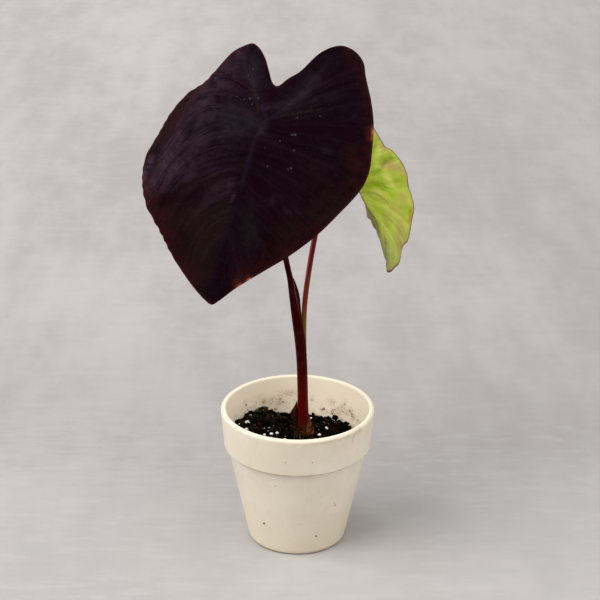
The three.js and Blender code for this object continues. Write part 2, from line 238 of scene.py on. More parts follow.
def closed_rings(rings, start, end):
    """One closed body from rings of points, with a fan at each end."""
    count = len(rings[0])
    points = np.vstack([[start], *rings, [end]])
    faces = [(0, 1 + (i + 1) % count, 1 + i) for i in range(count)]
    faces += ring_faces(len(rings), count, 1)
    last = len(points) - 1
    base = 1 + (len(rings) - 1) * count
    faces += [(last, base + i, base + (i + 1) % count) for i in range(count)]
    return points, faces


def add_piece(name, points, faces, materials, stands_for=(), fields=None, which=None):
    """A piece of the plant or pot. Points are in millimetres, and fields are numbers per point."""
    mesh = mesh_of(name, points, faces)
    for material in materials:
        mesh.materials.append(material)
    mesh.polygons.foreach_set("use_smooth", [True] * len(mesh.polygons))
    if which is not None:
        mesh.polygons.foreach_set("material_index", which)
    for field, values in (fields or {}).items():
        layer = mesh.attributes.new(field, "FLOAT", "POINT")
        layer.data.foreach_set("value", np.asarray(values, np.float32))
    mesh.update()
    mesh.validate()
    piece = placed(name, mesh)
    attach(piece, "root")
    if stands_for:
        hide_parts(*stands_for)
    return piece


def icosphere(detail):
    """Points and faces of a ball of radius 1."""
    ball = bmesh.new()
    bmesh.ops.create_icosphere(ball, subdivisions=detail, radius=1)
    points = np.array([v.co for v in ball.verts])
    faces = [tuple(v.index for v in f.verts) for f in ball.faces]
    ball.free()
    return points, faces


BALLS = {detail: icosphere(detail) for detail in (1, 2, 3, 4)}


def lump(centre, radii, detail, roughness, seed, wavelength=0.9):
    """An uneven lump with its own turn, from a displaced ball."""
    ball, faces = BALLS[detail]
    own = np.random.default_rng(seed)
    swell = 1 + roughness * turbulence(ball, wavelength, 3, seed * 3.1)
    points = ball * swell[:, None] * np.asarray(radii)
    turn = np.array(Matrix.Rotation(own.uniform(0, 6.283), 3, "Z"))
    tip = np.array(Matrix.Rotation(own.uniform(-0.5, 0.5), 3, "X"))
    return points @ (turn @ tip).T + np.asarray(centre, float), faces


def fitted_lump(size, centre, detail, roughness, seed, wavelength):
    """An uneven lump that fills a box of this half size round the centre."""
    points, faces = lump((0, 0, 0), (1, 1, 1), detail, roughness, seed, wavelength)
    points -= (points.min(0) + points.max(0)) / 2
    points /= np.abs(points).max(0)
    return points * size + centre, faces


class Heap:
    """Many small closed shapes gathered into one mesh, each with its own shade."""

    def __init__(self):
        self.points, self.faces, self.shades, self.count = [], [], [], 0

    def add(self, points, faces, shade):
        self.faces += [tuple((self.count + i for i in face)) for face in faces]
        self.points.append(points)
        self.shades.append(np.full(len(points), shade))
        self.count += len(points)

    def finish(self, name, materials, slot, stands_for=()):
        return add_piece(
            name, np.vstack(self.points), self.faces, materials, stands_for,
            {"shade": np.concatenate(self.shades)},
        )


# ---- material helpers -------------------------------------------------------------------


def tone(red, fold_shade, blue):
    """A linear colour from display values of 0 to 255."""
    out = []
    for value in (red, fold_shade, blue):
        c = value / 255
        out.append(c / 12.92 if c <= 0.04045 else ((c + 0.055) / 1.055) ** 2.4)
    return *out, 1.0


class Graph:
    """The nodes of one material or of the world."""

    def __init__(self, tree):
        self.tree = tree

    def node(self, kind, inputs=None, **settings):
        """A new node. Inputs are numbers, sockets, field names or display colours by socket."""
        made = self.tree.nodes.new(kind)
        for key, value in settings.items():
            setattr(made, key, value)
        for socket, value in (inputs or {}).items():
            self.join(value, made.inputs[socket])
        return made

    def join(self, source, target):
        """Feeds a socket from a socket, a number, a colour or the name of a field."""
        if isinstance(source, str):
            source = self.field(source)
        if isinstance(source, tuple) and target.type == "RGBA":
            source = tone(*source)
        if hasattr(source, "links"):
            self.tree.links.new(source, target)
        else:
            target.default_value = source

    def field(self, name):
        return self.node("ShaderNodeAttribute", attribute_name=name).outputs["Fac"]


class Paint(Graph):
    """A Principled material whose colour, roughness and bump are built from nodes."""

    def __init__(self, name, **constants):
        self.material = bpy.data.materials.new(name)
        self.material.use_nodes = True
        super().__init__(self.material.node_tree)
        self.shader = self.tree.nodes["Principled BSDF"]
        self.place = self.node("ShaderNodeTexCoord").outputs["Object"]
        self.colour = None
        for socket, value in constants.items():
            self.shader.inputs[socket.replace("_", " ")].default_value = value

    def axis(self, letter):
        """A coordinate of the point, in metres."""
        return self.node("ShaderNodeSeparateXYZ", {0: self.place}).outputs[letter]

    def stretched(self, scale):
        return self.node("ShaderNodeMapping", {"Vector": self.place, "Scale": scale}).outputs[0]

    def vector(self, x, y):
        return self.node("ShaderNodeCombineXYZ", {"X": x, "Y": y}).outputs[0]

    def scaled(self, kind, size, source, inputs, **settings):
        """A texture with features of this size, in millimetres or in units of the source."""
        scale = 1 / (size * MM) if source is None else 1 / size
        sockets = {"Vector": source or self.place, "Scale": scale, **inputs}
        return self.node(kind, sockets, **settings).outputs

    def noise(self, size, detail=4, rough=0.55, source=None, twist=0.0):
        """Fractal noise with features of about this size."""
        inputs = {"Detail": detail, "Roughness": rough, "Distortion": twist}
        return self.scaled("ShaderNodeTexNoise", size, source, inputs)["Fac"]

    def cells(self, size, feature="F1", source=None, output="Distance"):
        return self.scaled("ShaderNodeTexVoronoi", size, source, {}, feature=feature)[output]

    def remap(self, value, low, high, to_low=0.0, to_high=1.0):
        """The value's place between low and high, smoothly spread over the new limits."""
        limits = {"From Min": low, "From Max": high, "To Min": to_low, "To Max": to_high}
        inputs = {"Value": value, **limits}
        return self.node("ShaderNodeMapRange", inputs, interpolation_type="SMOOTHSTEP").outputs[0]

    def maths(self, operation, a, b):
        return self.node("ShaderNodeMath", {0: a, 1: b}, operation=operation).outputs[0]

    def times(self, first, *others):
        for other in others:
            first = self.maths("MULTIPLY", first, other)
        return first

    def plus(self, a, b):
        return self.maths("ADD", a, b)

    def blend(self, share, a, b):
        inputs = {0: share, 6: a, 7: b}
        return self.node("ShaderNodeMix", inputs, data_type="RGBA").outputs[2]

    def base(self, share, a, b):
        """The first colour, between two."""
        self.colour = self.blend(share, a, b)

    def coat(self, share, colour):
        """A share of a colour laid over what is there."""
        self.colour = self.blend(share, self.colour, colour)

    def wash(self, value, low, high, share, colour):
        """A coat that grows from none where the value is low to its full share at high."""
        self.coat(self.remap(value, low, high, 0, share), colour)

    def bump(self, height, distance, strength=1.0, under=None):
        inputs = {"Height": height, "Distance": distance * MM, "Strength": strength}
        if under is not None:
            inputs["Normal"] = under
        return self.node("ShaderNodeBump", inputs).outputs[0]

    def finish(self, roughness, normal):
        for socket, value in (
            ("Base Color", self.colour), ("Roughness", roughness), ("Normal", normal)
        ):
            self.join(value, self.shader.inputs[socket])
        return self.material


# ---- camera, light and floor ------------------------------------------------------------

CAMERA_PLACE = (1.24, -1207.5, 698.9)
CAMERA_PITCH = math.radians(22.77)
CAMERA_ROLL = math.radians(0.4)
FOCAL_PIXELS = 1800
FRAME_PIXELS = 600
SENSOR_WIDTH = 36

camera_data = bpy.data.cameras.new("camera")
camera_data.sensor_width = SENSOR_WIDTH
camera_data.lens = SENSOR_WIDTH * FOCAL_PIXELS / FRAME_PIXELS
camera_data.clip_start = 0.05
camera_data.clip_end = 30
camera = placed("camera", camera_data)
ahead = Vector((0, math.cos(CAMERA_PITCH), -math.sin(CAMERA_PITCH)))
level = Vector((1, 0, 0))
upright = Vector((0, math.sin(CAMERA_PITCH), math.cos(CAMERA_PITCH)))
right = math.cos(CAMERA_ROLL) * level + math.sin(CAMERA_ROLL) * upright
up = math.cos(CAMERA_ROLL) * upright - math.sin(CAMERA_ROLL) * level
camera.matrix_world = Matrix.Translation(
    Vector(CAMERA_PLACE) * MM
) @ Matrix((right, up, -ahead)).transposed().to_4x4()
bpy.context.scene.camera = camera
bpy.context.scene.view_settings.view_transform = "Standard"


def soft_sun(name, towards_light, strength, spread, colour):
    """A very soft, far studio light. spread is its width in degrees."""
    data = bpy.data.lights.new(name, "SUN")
    data.energy, data.angle, data.color = strength, math.radians(spread), colour
    placed(name, data).rotation_euler = Vector(towards_light).to_track_quat("Z", "Y").to_euler()


soft_sun("key", (-0.78, -0.31, 0.88), strength=2.5, spread=50, colour=(1, 0.985, 0.965))
soft_sun("fill", (0.78, -0.34, 0.6), strength=1.15, spread=90, colour=(1, 0.985, 0.965))
soft_sun("overhead", (0.3, -0.52, 0.8), strength=0.58, spread=60, colour=(1, 0.995, 0.98))


# the room is brightest this way, and its light goes from the first stop to the second
BRIGHT_WAY = (-0.25, 0.55, 0.8)
ROOM_STOPS = [(0.30, (0.19, 0.187, 0.183, 1)), (0.85, (0.57, 0.565, 0.560, 1))]


def studio_world():
    """A pale room, brighter above and behind than in front of the plant."""
    world = bpy.data.worlds.new("studio")
    world.use_nodes = True
    graph = Graph(world.node_tree)
    where = graph.node("ShaderNodeTexCoord").outputs["Generated"]
    towards = Vector(BRIGHT_WAY).normalized()
    facing = graph.node("ShaderNodeVectorMath", {0: where, 1: towards}, operation="DOT_PRODUCT")
    half = graph.node(
        "ShaderNodeMath", {0: facing.outputs["Value"], 1: 0.5, 2: 0.5}, operation="MULTIPLY_ADD"
    )
    ramp = graph.node("ShaderNodeValToRGB", {"Fac": half.outputs[0]})
    ramp.color_ramp.interpolation = "EASE"
    for stop, (position, colour) in zip(ramp.color_ramp.elements, ROOM_STOPS):
        stop.position, stop.color = position, colour
    graph.join(ramp.outputs["Color"], graph.tree.nodes["Background"].inputs["Color"])
    bpy.context.scene.world = world


studio_world()


# half the floor's width, and the middle of the soft shadow painted on the floor beside the pot in
# metres
FLOOR_REACH = 9000
PAINTED_SHADOW_SPOT = (0.046, 0.004, 0)


def floor_material():
    paint = Paint("floor_paper", Specular_IOR_Level=0.15)
    across, away = paint.axis("X"), paint.axis("Y")
    broad = paint.noise(1, 4, 0.6, paint.stretched((5, 1.7, 1)))
    patch = paint.noise(1, 5, 0.62, paint.stretched((26, 9, 1)))
    grain = paint.noise(2.2, 3, 0.6)
    mottle = paint.plus(paint.times(broad, 0.6), paint.times(patch, 0.4))
    paint.base(paint.remap(mottle, 0.38, 0.62), (164, 160, 159), (181, 177, 176))
    paint.wash(grain, 0.25, 0.75, 0.1, (150, 146, 143))
    near = paint.remap(away, 0.28, 0.04, 0.25, 1)
    brushed = paint.noise(1, 5, 0.65, paint.stretched((24, 80, 1)))
    bright = paint.times(paint.remap(brushed, 0.5, 0.64, 0, 0.46), near)
    dull = paint.times(paint.remap(brushed, 0.48, 0.34, 0, 0.42), near)
    paint.coat(bright, (190, 187, 186))
    paint.coat(dull, (156, 152, 150))
    # painted light falloff: darker towards the right and in the middle distance, brighter close in
    # front and far back
    paint.wash(across, -0.3, 0.4, 0.4, (140, 137, 135))
    paint.wash(away, 0.45, 0.18, 0.22, (148, 145, 143))
    paint.wash(away, 0.17, 0.02, 0.36, (193, 190, 189))
    paint.wash(away, 0.6, 1.7, 0.12, (192, 188, 186))
    # painted shadow: the floor is darker close to the pot's right side
    beside = paint.node(
        "ShaderNodeVectorMath", {0: paint.place, 1: PAINTED_SHADOW_SPOT}, operation="DISTANCE"
    )
    paint.wash(beside.outputs["Value"], 0.042, 0.0, 0.3, (118, 113, 109))
    return paint.finish(0.82, paint.bump(grain, 0.06, 0.5))


def make_floor():
    corners = FLOOR_REACH * np.array([[-1, -1, 0], [1, -1, 0], [1, 1, 0], [-1, 1, 0]])
    mesh = mesh_of("floor", corners, [(0, 1, 2, 3)])
    mesh.materials.append(floor_material())
    floor = placed("floor", mesh)


make_floor()

# ---- soil surface -----------------------------------------------------------------------


def soil_height(x, y):
    """Height of the soil without its lumps."""
    from_stem = np.hypot(x - STEM[0], y - STEM[1])
    mound = MOUND_HEIGHT * np.exp(-(from_stem / MOUND_SPREAD) ** 2)
    dip = BACK_DIP * smooth(y, 24, 44) * smooth(x, -30, -14)
    return SOIL_LEVEL + SOIL_SLOPE * x + mound - dip


def inner_radius(z):
    """Radius of the pot's inner wall at a height."""
    share = (POT_HEIGHT - z) / (POT_HEIGHT - FLOOR_THICKNESS)
    return mix(RIM_RADIUS - LIP_WIDTH, FLOOR_RADIUS, share)


def outer_radius(z):
    """Radius of the pot's outer wall at a height."""
    if z > BAND_FOOT:
        return mix(BAND_FOOT_RADIUS, RIM_RADIUS, (z - BAND_FOOT) / BAND_HEIGHT)
    return mix(BASE_RADIUS, BODY_TOP_RADIUS, z / (BAND_FOOT - BAND_STEP_DROP))


# ---- pot --------------------------------------------------------------------------------


def rounded_profile(corners, steps):
    """Corners [radius, height, rounding] with an arc in place of each rounded one."""
    out = []
    for i, (r, z, rounding) in enumerate(corners):
        corner = np.array([r, z], float)
        if not rounding:
            out.append(corner)
            continue
        back = unit(np.array(corners[i - 1][:2]) - corner)
        on = unit(np.array(corners[i + 1][:2]) - corner)
        half = math.acos(float(back @ on)) / 2
        centre = corner + unit(back + on) * rounding / math.sin(half)
        first = corner + back * rounding / math.tan(half) - centre
        last = corner + on * rounding / math.tan(half) - centre
        start = math.atan2(first[1], first[0])
        sweep = half_turn(math.atan2(last[1], last[0]) - start)
        for a in start + sweep * np.arange(steps + 1) / steps:
            out.append(centre + rounding * np.array([math.cos(a), math.sin(a)]))
    return np.array(out)


# dirt on the pot as (field, noise size, detail, roughness, low, high, colour)
POT_DIRT = [
    ("stain", 1.7, 4, 0.65, 0.3, 0.62, (178, 146, 100)),
    ("silt", 4.2, 5, 0.7, 0.42, 0.66, (176, 154, 118)),
    ("smudge", 1.3, 5, 0.7, 0.34, 0.6, (140, 96, 50)),
]


def pot_material():
    paint = Paint("pot_glaze", Specular_IOR_Level=0.4, Coat_Weight=0.12, Coat_Roughness=0.3)
    height = paint.axis("Z")
    broad = paint.noise(46, 4, 0.55)
    fine = paint.noise(3.2, 5, 0.6)
    streak = paint.noise(1.0, 3, 0.5, paint.stretched((160, 160, 12)))
    paint.base(paint.remap(broad, 0.35, 0.68), (232, 223, 205), (224, 213, 193))
    paint.wash(streak, 0.5, 0.8, 0.25, (214, 200, 174))
    paint.wash(fine, 0.52, 0.8, 0.35, (212, 198, 172))
    paint.wash(height, 0.045, 0.0, 0.35, (222, 206, 176))
    # painted light: the inner wall is painted paler to stand in for the light that reaches it
    paint.coat(paint.times("inner", 0.9), (254, 240, 216))
    # painted contact shade: a thin darker line along the foot where it meets the floor
    paint.wash(height, 0.0028, 0.0004, 0.8, (116, 100, 76))
    # painted shade: a patchy brown line just under the overhanging band
    ledge = BAND_FOOT * MM
    dust = paint.times(
        paint.remap(height, ledge - 0.0022, ledge - 0.0004, 0, 0.62),
        paint.remap(height, ledge + 0.0009, ledge + 0.0002),
        paint.remap(paint.noise(7, 4, 0.65), 0.36, 0.6),
    )
    paint.coat(dust, (150, 122, 82))
    speck = paint.remap(paint.cells(5.5), 0.03, 0.075, 1, 0)
    some = paint.remap(paint.cells(5.5, output="Color"), 0.8, 0.86)
    paint.coat(paint.times(speck, some, 0.7), (92, 66, 40))
    for field, size, detail, rough, low, high, colour in POT_DIRT:
        uneven = paint.remap(paint.noise(size, detail, rough), low, high)
        paint.coat(paint.times(field, uneven), colour)
    normal = paint.bump(fine, 0.1, 0.4, paint.bump(broad, 0.8, 0.35))
    return paint.finish(paint.remap(fine, 0.3, 0.7, 0.36, 0.52), normal)


POT_SPOKES = 264
POT_RING_GAP = 4.0
CORNER_STEPS = 8
# the drill's turn keeps its corners off the spokes of the pot's floor
DRILL_SIDES = 40
DRILL_TURN = 0.37
DRILL_REACH = 4
# larger flakes on the inner wall as (angle in degrees, height, size)
WALL_FLAKES = [
    (121.5, 88.7, 0.7), (103.4, 86.2, 0.55), (106, 88.7, 0.45), (111.3, 81.5, 0.6),
    (66, 82.2, 0.55), (55.8, 83.3, 0.5), (56.2, 80.6, 0.75), (43.8, 91.2, 0.6),
    (46.6, 88, 0.5), (36.1, 88, 0.65), (32.6, 86.8, 0.75), (141.7, 91.5, 0.45),
    (21.1, 86.1, 0.5), (50.8, 86.1, 0.4), (77.1, 87.8, 0.4),
]
# faint brown smears on the inner wall in the same form
WALL_SMUDGES = [
    (98, 92, 2.6), (113, 90, 2.0), (124, 91, 1.6), (58, 88, 1.5), (48, 86, 1.8), (40, 84, 1.4),
    (52, 82, 1.6), (30, 85, 1.2), (107, 84, 1.4),
]
# brown marks under the rim as (angle in degrees, height, half width, half height)
RIM_STAINS = [
    (-41.5, 104, 3.0, 1.6), (-44.5, 100, 0.8, 5.0), (-37, 104.5, 2.2, 1.2), (-66, 103.6, 24, 0.5),
]


def wall_marks(points, marks):
    """The strongest of some soft marks, each (degrees, height, half width, half height)."""
    angle = np.degrees(np.arctan2(points[:, 1], points[:, 0]))
    out = np.zeros(len(points))
    for at, z, wide, tall in marks:
        away = np.radians(angle - at) * RIM_RADIUS
        out = np.maximum(out, np.exp(-(away / wide) ** 2 - ((points[:, 2] - z) / tall) ** 2))
    return out


def make_pot():
    """The pot as one turned body, a little uneven, with its drain holes."""
    corners = [
        [0, 0, 0], [BASE_RADIUS, 0, 1.8], [BODY_TOP_RADIUS, BAND_FOOT - BAND_STEP_DROP, 0.8],
        [BAND_FOOT_RADIUS, BAND_FOOT, 1.6], [RIM_RADIUS, POT_HEIGHT, 2],
        [RIM_RADIUS - LIP_WIDTH, POT_HEIGHT, 1.6], [FLOOR_RADIUS, FLOOR_THICKNESS, 5],
        [0, FLOOR_THICKNESS, 0],
    ]
    turned = rounded_profile(corners, CORNER_STEPS)
    profile = [turned[0]]
    for a, b in zip(turned[:-1], turned[1:]):
        cuts = max(1, int(np.linalg.norm(b - a) / POT_RING_GAP))
        profile += [mix(a, b, (k + 1) / cuts) for k in range(cuts)]
    angles = circle(POT_SPOKES)
    rings = []
    for r, z in profile[1:-1]:
        wander = 0.22 * turbulence(polar(r, angles, z), 42, 2, 5.0) * smooth(z, 1, 8)
        rings.append(polar(r + wander, angles, z))
    points, faces = closed_rings(rings, [0, 0, 0], [0, 0, FLOOR_THICKNESS])
    x, y, z = points.T
    outside = np.hypot(x, y) > inner_radius(z) + LIP_WIDTH * 0.5
    smears = [(at, up, 2.6 * size + 0.8, 1.7) for at, up, size in WALL_FLAKES + WALL_SMUDGES]
    fields = {
        "stain": 0.8 * wall_marks(points, RIM_STAINS) * outside,
        "silt": 0.32 * (1 - smooth(z - soil_height(x, y), 0.5, 12)) * ~outside,
        "smudge": 0.75 * wall_marks(points, smears) * ~outside,
        "inner": ~outside,
    }
    drill_drains(add_piece("pot", points, faces, [pot_material()], ["pot"], fields))


def drill_drains(pot):
    """Cuts the round drain holes through the floor of the pot."""
    points, faces = [], []
    for i in range(DRAIN_COUNT):
        turn = math.radians(90 + 360 * i / DRAIN_COUNT)
        middle = DRAIN_RING_RADIUS * math.cos(turn), DRAIN_RING_RADIUS * math.sin(turn)
        foot = len(points)
        for z in (-DRILL_REACH, FLOOR_THICKNESS + DRILL_REACH):
            points += polar(DRAIN_RADIUS, circle(DRILL_SIDES, DRILL_TURN), z, middle).tolist()
        head = foot + DRILL_SIDES
        faces += ring_faces(2, DRILL_SIDES, foot)
        faces += [tuple(reversed(range(foot, head))), tuple(range(head, head + DRILL_SIDES))]
    drill = placed("drill", mesh_of("drill", points, faces))
    cut = pot.modifiers.new("drains", "BOOLEAN")
    cut.operation = "DIFFERENCE"
    cut.solver = "EXACT"
    cut.object = drill
    graph = bpy.context.evaluated_depsgraph_get()
    drilled = bpy.data.meshes.new_from_object(pot.evaluated_get(graph))
    pot.modifiers.clear()
    pot.data = drilled
    bpy.data.objects.remove(drill)


make_pot()

# ---- soil -------------------------------------------------------------------------------


def soil_material():
    paint = Paint("potting_soil", Specular_IOR_Level=0.004)
    grain = paint.noise(1.1, 5, 0.7)
    patch = paint.noise(11, 4, 0.6)
    clump = paint.remap(paint.noise(4.6, 3, 0.6), 0.46, 0.62)
    paint.base(paint.times(paint.remap(grain, 0.4, 0.7), clump), (1, 1, 0), (54, 40, 21))
    paint.wash(patch, 0.5, 0.72, 0.3, (24, 23, 7))
    paint.coat(paint.times("shade", 0.5), (48, 33, 17))
    paint.coat(paint.times("mossy", paint.remap(grain, 0.42, 0.66)), (54, 52, 15))
    return paint.finish(paint.remap(patch, 0.3, 0.7, 0.72, 0.95), paint.bump(grain, 0.5, 0.8))


SOIL = soil_material()


def soil_top(points):
    """Height of the soil with its lumps. Points are in plan."""
    ridged = 1 - 2.2 * np.abs(turbulence(points, 8.5, 3, 11))
    lumps = 1.3 * ridged + 0.6 * turbulence(points, 2.4, 2, 4)
    return soil_height(points[:, 0], points[:, 1]) + lumps - 0.9


SOIL_SPOKES = 220
SOIL_RINGS = 62
CORM_HOLE = np.array([6.9, 6.5])


def make_soil():
    """The soil fills the pot, with a hole where the corm sits."""
    angles = circle(SOIL_SPOKES)
    way = polar(1, angles, 0)[:, :2]
    walls = [(FLOOR_THICKNESS + GAP, 5.2), (FLOOR_THICKNESS + 5.5, GAP), (30, GAP), (60, GAP)]
    rings = [polar(inner_radius(z) - inset, angles, z) for z, inset in walls]
    level = soil_height(46 * way[:, 0], 46 * way[:, 1])
    wall = way * (inner_radius(level) - GAP - 0.1)[:, None]
    hole = STEM + way * CORM_HOLE
    for share in np.linspace(1, 0, SOIL_RINGS):
        plan = mix(hole, wall, share)
        z = soil_top(plan)
        far = np.hypot(plan[:, 0], plan[:, 1])
        limit = inner_radius(z) - GAP
        plan = plan * np.minimum(1, limit / np.maximum(far, 1e-6))[:, None]
        rings.append(np.column_stack([plan, z]))
    rings.append(np.column_stack([hole, np.full(SOIL_SPOKES, CORM_TOP - 2.6)]))
    for k in range(2, 15):
        a = math.pi / 2 - math.pi * k / 16
        reach = (CORM_RADIUS + GAP) * max(math.cos(a), 0) ** 0.8
        z = CORM_MIDDLE + (CORM_HEIGHT / 2 + GAP) * math.sin(a)
        rings.append(polar(reach, angles, z, STEM))
    bottom = [*STEM, CORM_MIDDLE - CORM_HEIGHT / 2 - GAP]
    points, faces = closed_rings(rings, [0, 0, FLOOR_THICKNESS + GAP], bottom)
    x, y, z = points.T
    angle = np.degrees(np.arctan2(y, x))
    fields = {
        "shade": 0.35 * smooth(turbulence(points, 5, 3, 2), 0.1, 0.5),
        "mossy": 0.8 * smooth(np.hypot(x, y), 32, 46) * smooth(angle, 92, 105),
    }
    add_piece("soil", points, faces, [SOIL], ["soil"], fields)


make_soil()


def scattered(count, from_stem, from_wall):
    """Seeded places on the soil, as plan points, clear of the stem and of the pot's wall."""
    found = []
    outer = inner_radius(SOIL_LEVEL) - from_wall
    while len(found) < count:
        a = rng.uniform(0, 2 * math.pi)
        r = outer * math.sqrt(rng.uniform(0, 1))
        p = np.array([r * math.cos(a), r * math.sin(a)])
        if np.linalg.norm(p - STEM) > from_stem:
            found.append(p)
    return np.array(found)


# soil crumbs as (how many, smallest, largest, detail of the ball)
CRUMBS = [(330, 1.1, 2.4, 2), (1500, 0.4, 1.1, 1)]
CRUMB_SEED = 100


def make_crumbs():
    """Lumps of soil of two sizes."""
    heap = Heap()
    seed = CRUMB_SEED
    for count, low, high, detail in CRUMBS:
        places = scattered(count, from_stem=9.5, from_wall=2.2)
        for plan, z in zip(places, soil_top(places)):
            size = rng.uniform(low, high)
            radii = size * rng.uniform(0.6, 1.1, 3)
            far, limit = np.hypot(*plan), inner_radius(z) - 0.4
            if far + size > limit:
                plan = plan * ((limit - size) / far)
            place = [*plan, z + radii[2] * 0.35]
            heap.add(*lump(place, radii, detail, 0.9, seed, 0.7), rng.uniform(0, 1) ** 6)
            seed += 1
    heap.finish("soil_crumbs", [SOIL], "soil")


make_crumbs()


def thread(path, radius, sides=5):
    """A thin closed tube along a path, narrower towards its end."""
    tangent = unit(np.gradient(path, axis=0))
    side = unit(np.cross(tangent, [0.13, 0.2, 0.97]))
    lift = np.cross(side, tangent)
    x, y = polar(1, circle(sides), 0)[:, :2].T[:, :, None]
    rings = []
    for i, p in enumerate(path):
        rings.append(p + radius * (1 - 0.6 * i / len(path)) * (x * side[i] + y * lift[i]))
    return closed_rings(rings, path[0], path[-1])


def fibre_material():
    paint = Paint("fibre", Specular_IOR_Level=0.3)
    paint.base("shade", (44, 28, 16), (132, 92, 50))
    paint.wash(paint.noise(0.8), 0.4, 0.7, 0.6, (60, 40, 22))
    return paint.finish(0.8, paint.bump(paint.noise(0.5), 0.15, 0.6))


FIBRE_COUNT = 70


def make_fibres():
    """Short bowed fibres that lie on the soil."""
    heap = Heap()
    steps = np.linspace(-0.5, 0.5, 7)
    for p in scattered(FIBRE_COUNT, from_stem=10, from_wall=7):
        turn = rng.uniform(0, 6.283)
        length = rng.uniform(2.5, 7)
        curl = rng.uniform(-0.5, 0.5)
        along = np.array([math.cos(turn), math.sin(turn)])
        bow = np.array([-math.sin(turn), math.cos(turn)])
        plan = p + length * (np.outer(steps, along) + np.outer(curl * steps ** 2, bow))
        z = soil_top(plan) + 0.35 + rng.uniform(0, 0.9) * (0.25 - steps ** 2)
        fibre = thread(np.column_stack([plan, z]), rng.uniform(0.16, 0.34))
        heap.add(*fibre, rng.uniform(0, 1))
    heap.finish("soil_fibres", [fibre_material()], "soil")


make_fibres()


CORM_SPOKES = 48
CORM_RINGS = 28


def make_corm():
    """The bulb under the stem, with a few shallow rings round it."""
    angles = circle(CORM_SPOKES)
    rings = []
    for k in range(1, CORM_RINGS):
        a = -math.pi / 2 + math.pi * k / CORM_RINGS
        reach = (CORM_RADIUS - 0.3) * math.cos(a) ** 0.8 - 0.25 * abs(math.sin(a * 9))
        rings.append(polar(reach, angles, CORM_MIDDLE + CORM_HEIGHT / 2 * math.sin(a), STEM))
    ends = ([*STEM, CORM_MIDDLE + way * CORM_HEIGHT / 2] for way in (-1, 1))
    points, faces = closed_rings(rings, *ends)
    paint = Paint("corm_skin", Specular_IOR_Level=0.3)
    bands = paint.noise(1, 4, 0.6, paint.stretched((60, 60, 520)))
    paint.base(paint.remap(bands, 0.35, 0.7), (74, 50, 32), (120, 88, 58))
    material = paint.finish(0.85, paint.bump(bands, 0.3, 0.7))
    add_piece("corm", points, faces, [material], ["corm"])


make_corm()

# ---- perlite, clods and moss ------------------------------------------------------------

# perlite granules as [x, y]
GRANULES = [
    [-38, 12], [-38.3, 1], [-19.4, -3], [-15.5, -1], [-24.8, -5.8], [-21, 6.8], [21.6, 14],
    [10.8, 36], [21.3, 38.6], [16.2, 8.5], [16.3, 0], [-9.4, -9.8],
]
PERLITE_SEED = 500


def perlite_material():
    paint = Paint(
        "perlite", Specular_IOR_Level=0.2, Subsurface_Weight=0.15, Subsurface_Scale=0.001
    )
    pits = paint.cells(0.55)
    dust = paint.noise(1.4, 4, 0.65)
    paint.base(paint.remap(dust, 0.48, 0.75, 0, 0.5), (244, 242, 236), (196, 186, 166))
    paint.wash(pits, 0.35, 0.0, 0.25, (150, 140, 122))
    return paint.finish(0.9, paint.bump(pits, 0.25, 0.8))


PERLITE = perlite_material()


def make_perlite():
    """White granules, let down until they touch the soil."""
    for i, (x, y) in enumerate(GRANULES):
        name = f"perlite_{i + 1:02d}"
        middle, size = cad_box(name)
        points, faces = fitted_lump(size, middle, 3, 0.6, PERLITE_SEED + i, 0.75)
        settle = points[:, 2].min() - (soil_height(x, y) - 0.9)
        points[:, 2] -= max(0, settle)
        add_piece(name, points, faces, [PERLITE], [name])


make_perlite()

# small white grains as [x, y, radius]
GRAINS = [
    [-28, -22, 0.9], [-20.5, -24, 0.8], [-13, -27.5, 1.1], [-9, -27.5, 1.2], [24, -24.5, 1.3],
    [-30.5, -16, 0.8], [12.5, -20, 0.8], [13.5, -28, 1.0], [-6, -12, 0.7], [-36, 25, 0.9],
    [30, -12, 0.8], [-14, 14, 0.7], [-10.5, -32, 1.2], [23.5, -30.5, 1.3], [35, 5, 0.7],
    [-44, 8, 0.7], [2, -31, 0.8], [8, 20, 0.7],
]
GRAIN_SEED = 700
DUST_COUNT = 60
DUST_SEED = 800


def make_grains():
    """Placed small grains, and scattered perlite dust."""
    heap = Heap()
    for i, (x, y, radius) in enumerate(GRAINS):
        z = soil_top(np.array([[x, y]]))[0] + radius * 0.55
        radii = radius * np.array([1.05, 0.85, 0.8])
        heap.add(*lump([x, y, z], radii, 2, 0.4, GRAIN_SEED + i), 0.5)
    for i, p in enumerate(scattered(DUST_COUNT, from_stem=11, from_wall=4)):
        radii = np.full(3, rng.uniform(0.18, 0.42))
        place = [*p, soil_top(p[None])[0] + 0.5]
        heap.add(*lump(place, radii, 1, 0.3, DUST_SEED + i), 0.5)
    heap.finish("perlite_grains", [PERLITE], "perlite")


make_grains()


CLOD_SEED = 41
CLOD_DRAWS = 60
CLOD_CRUMBS = 26
CLOD_CRUMB_SEED = 900


def make_clods():
    """Two clods of soil, each a lump with crumbs stuck to it."""
    for i, name in enumerate(("soil_clod_back", "soil_clod_right")):
        middle, size = cad_box(name)
        heap = Heap()
        heap.add(*fitted_lump(size * 0.92, middle, 4, 0.55, CLOD_SEED + i, 0.7), 0.12)
        own = np.random.default_rng(CLOD_DRAWS + i)
        for k in range(CLOD_CRUMBS):
            place = middle + unit(own.normal(size=3)) * size * 0.78
            radii = own.uniform(0.35, 0.8, 3)
            crumb = lump(place, radii, 1, 0.4, CLOD_CRUMB_SEED + 40 * i + k)
            heap.add(*crumb, own.uniform(0, 0.5))
        heap.finish(name, [SOIL], "soil", [name])


make_clods()


def moss_material():
    paint = Paint("moss", Specular_IOR_Level=0.2)
    paint.base("shade", (16, 15, 4), (122, 116, 38))
    paint.wash(paint.noise(2.5), 0.5, 0.7, 0.6, (70, 52, 28))
    return paint.finish(0.85, paint.bump(paint.noise(0.6), 0.2, 0.6))


MOSS_PAINT = moss_material()


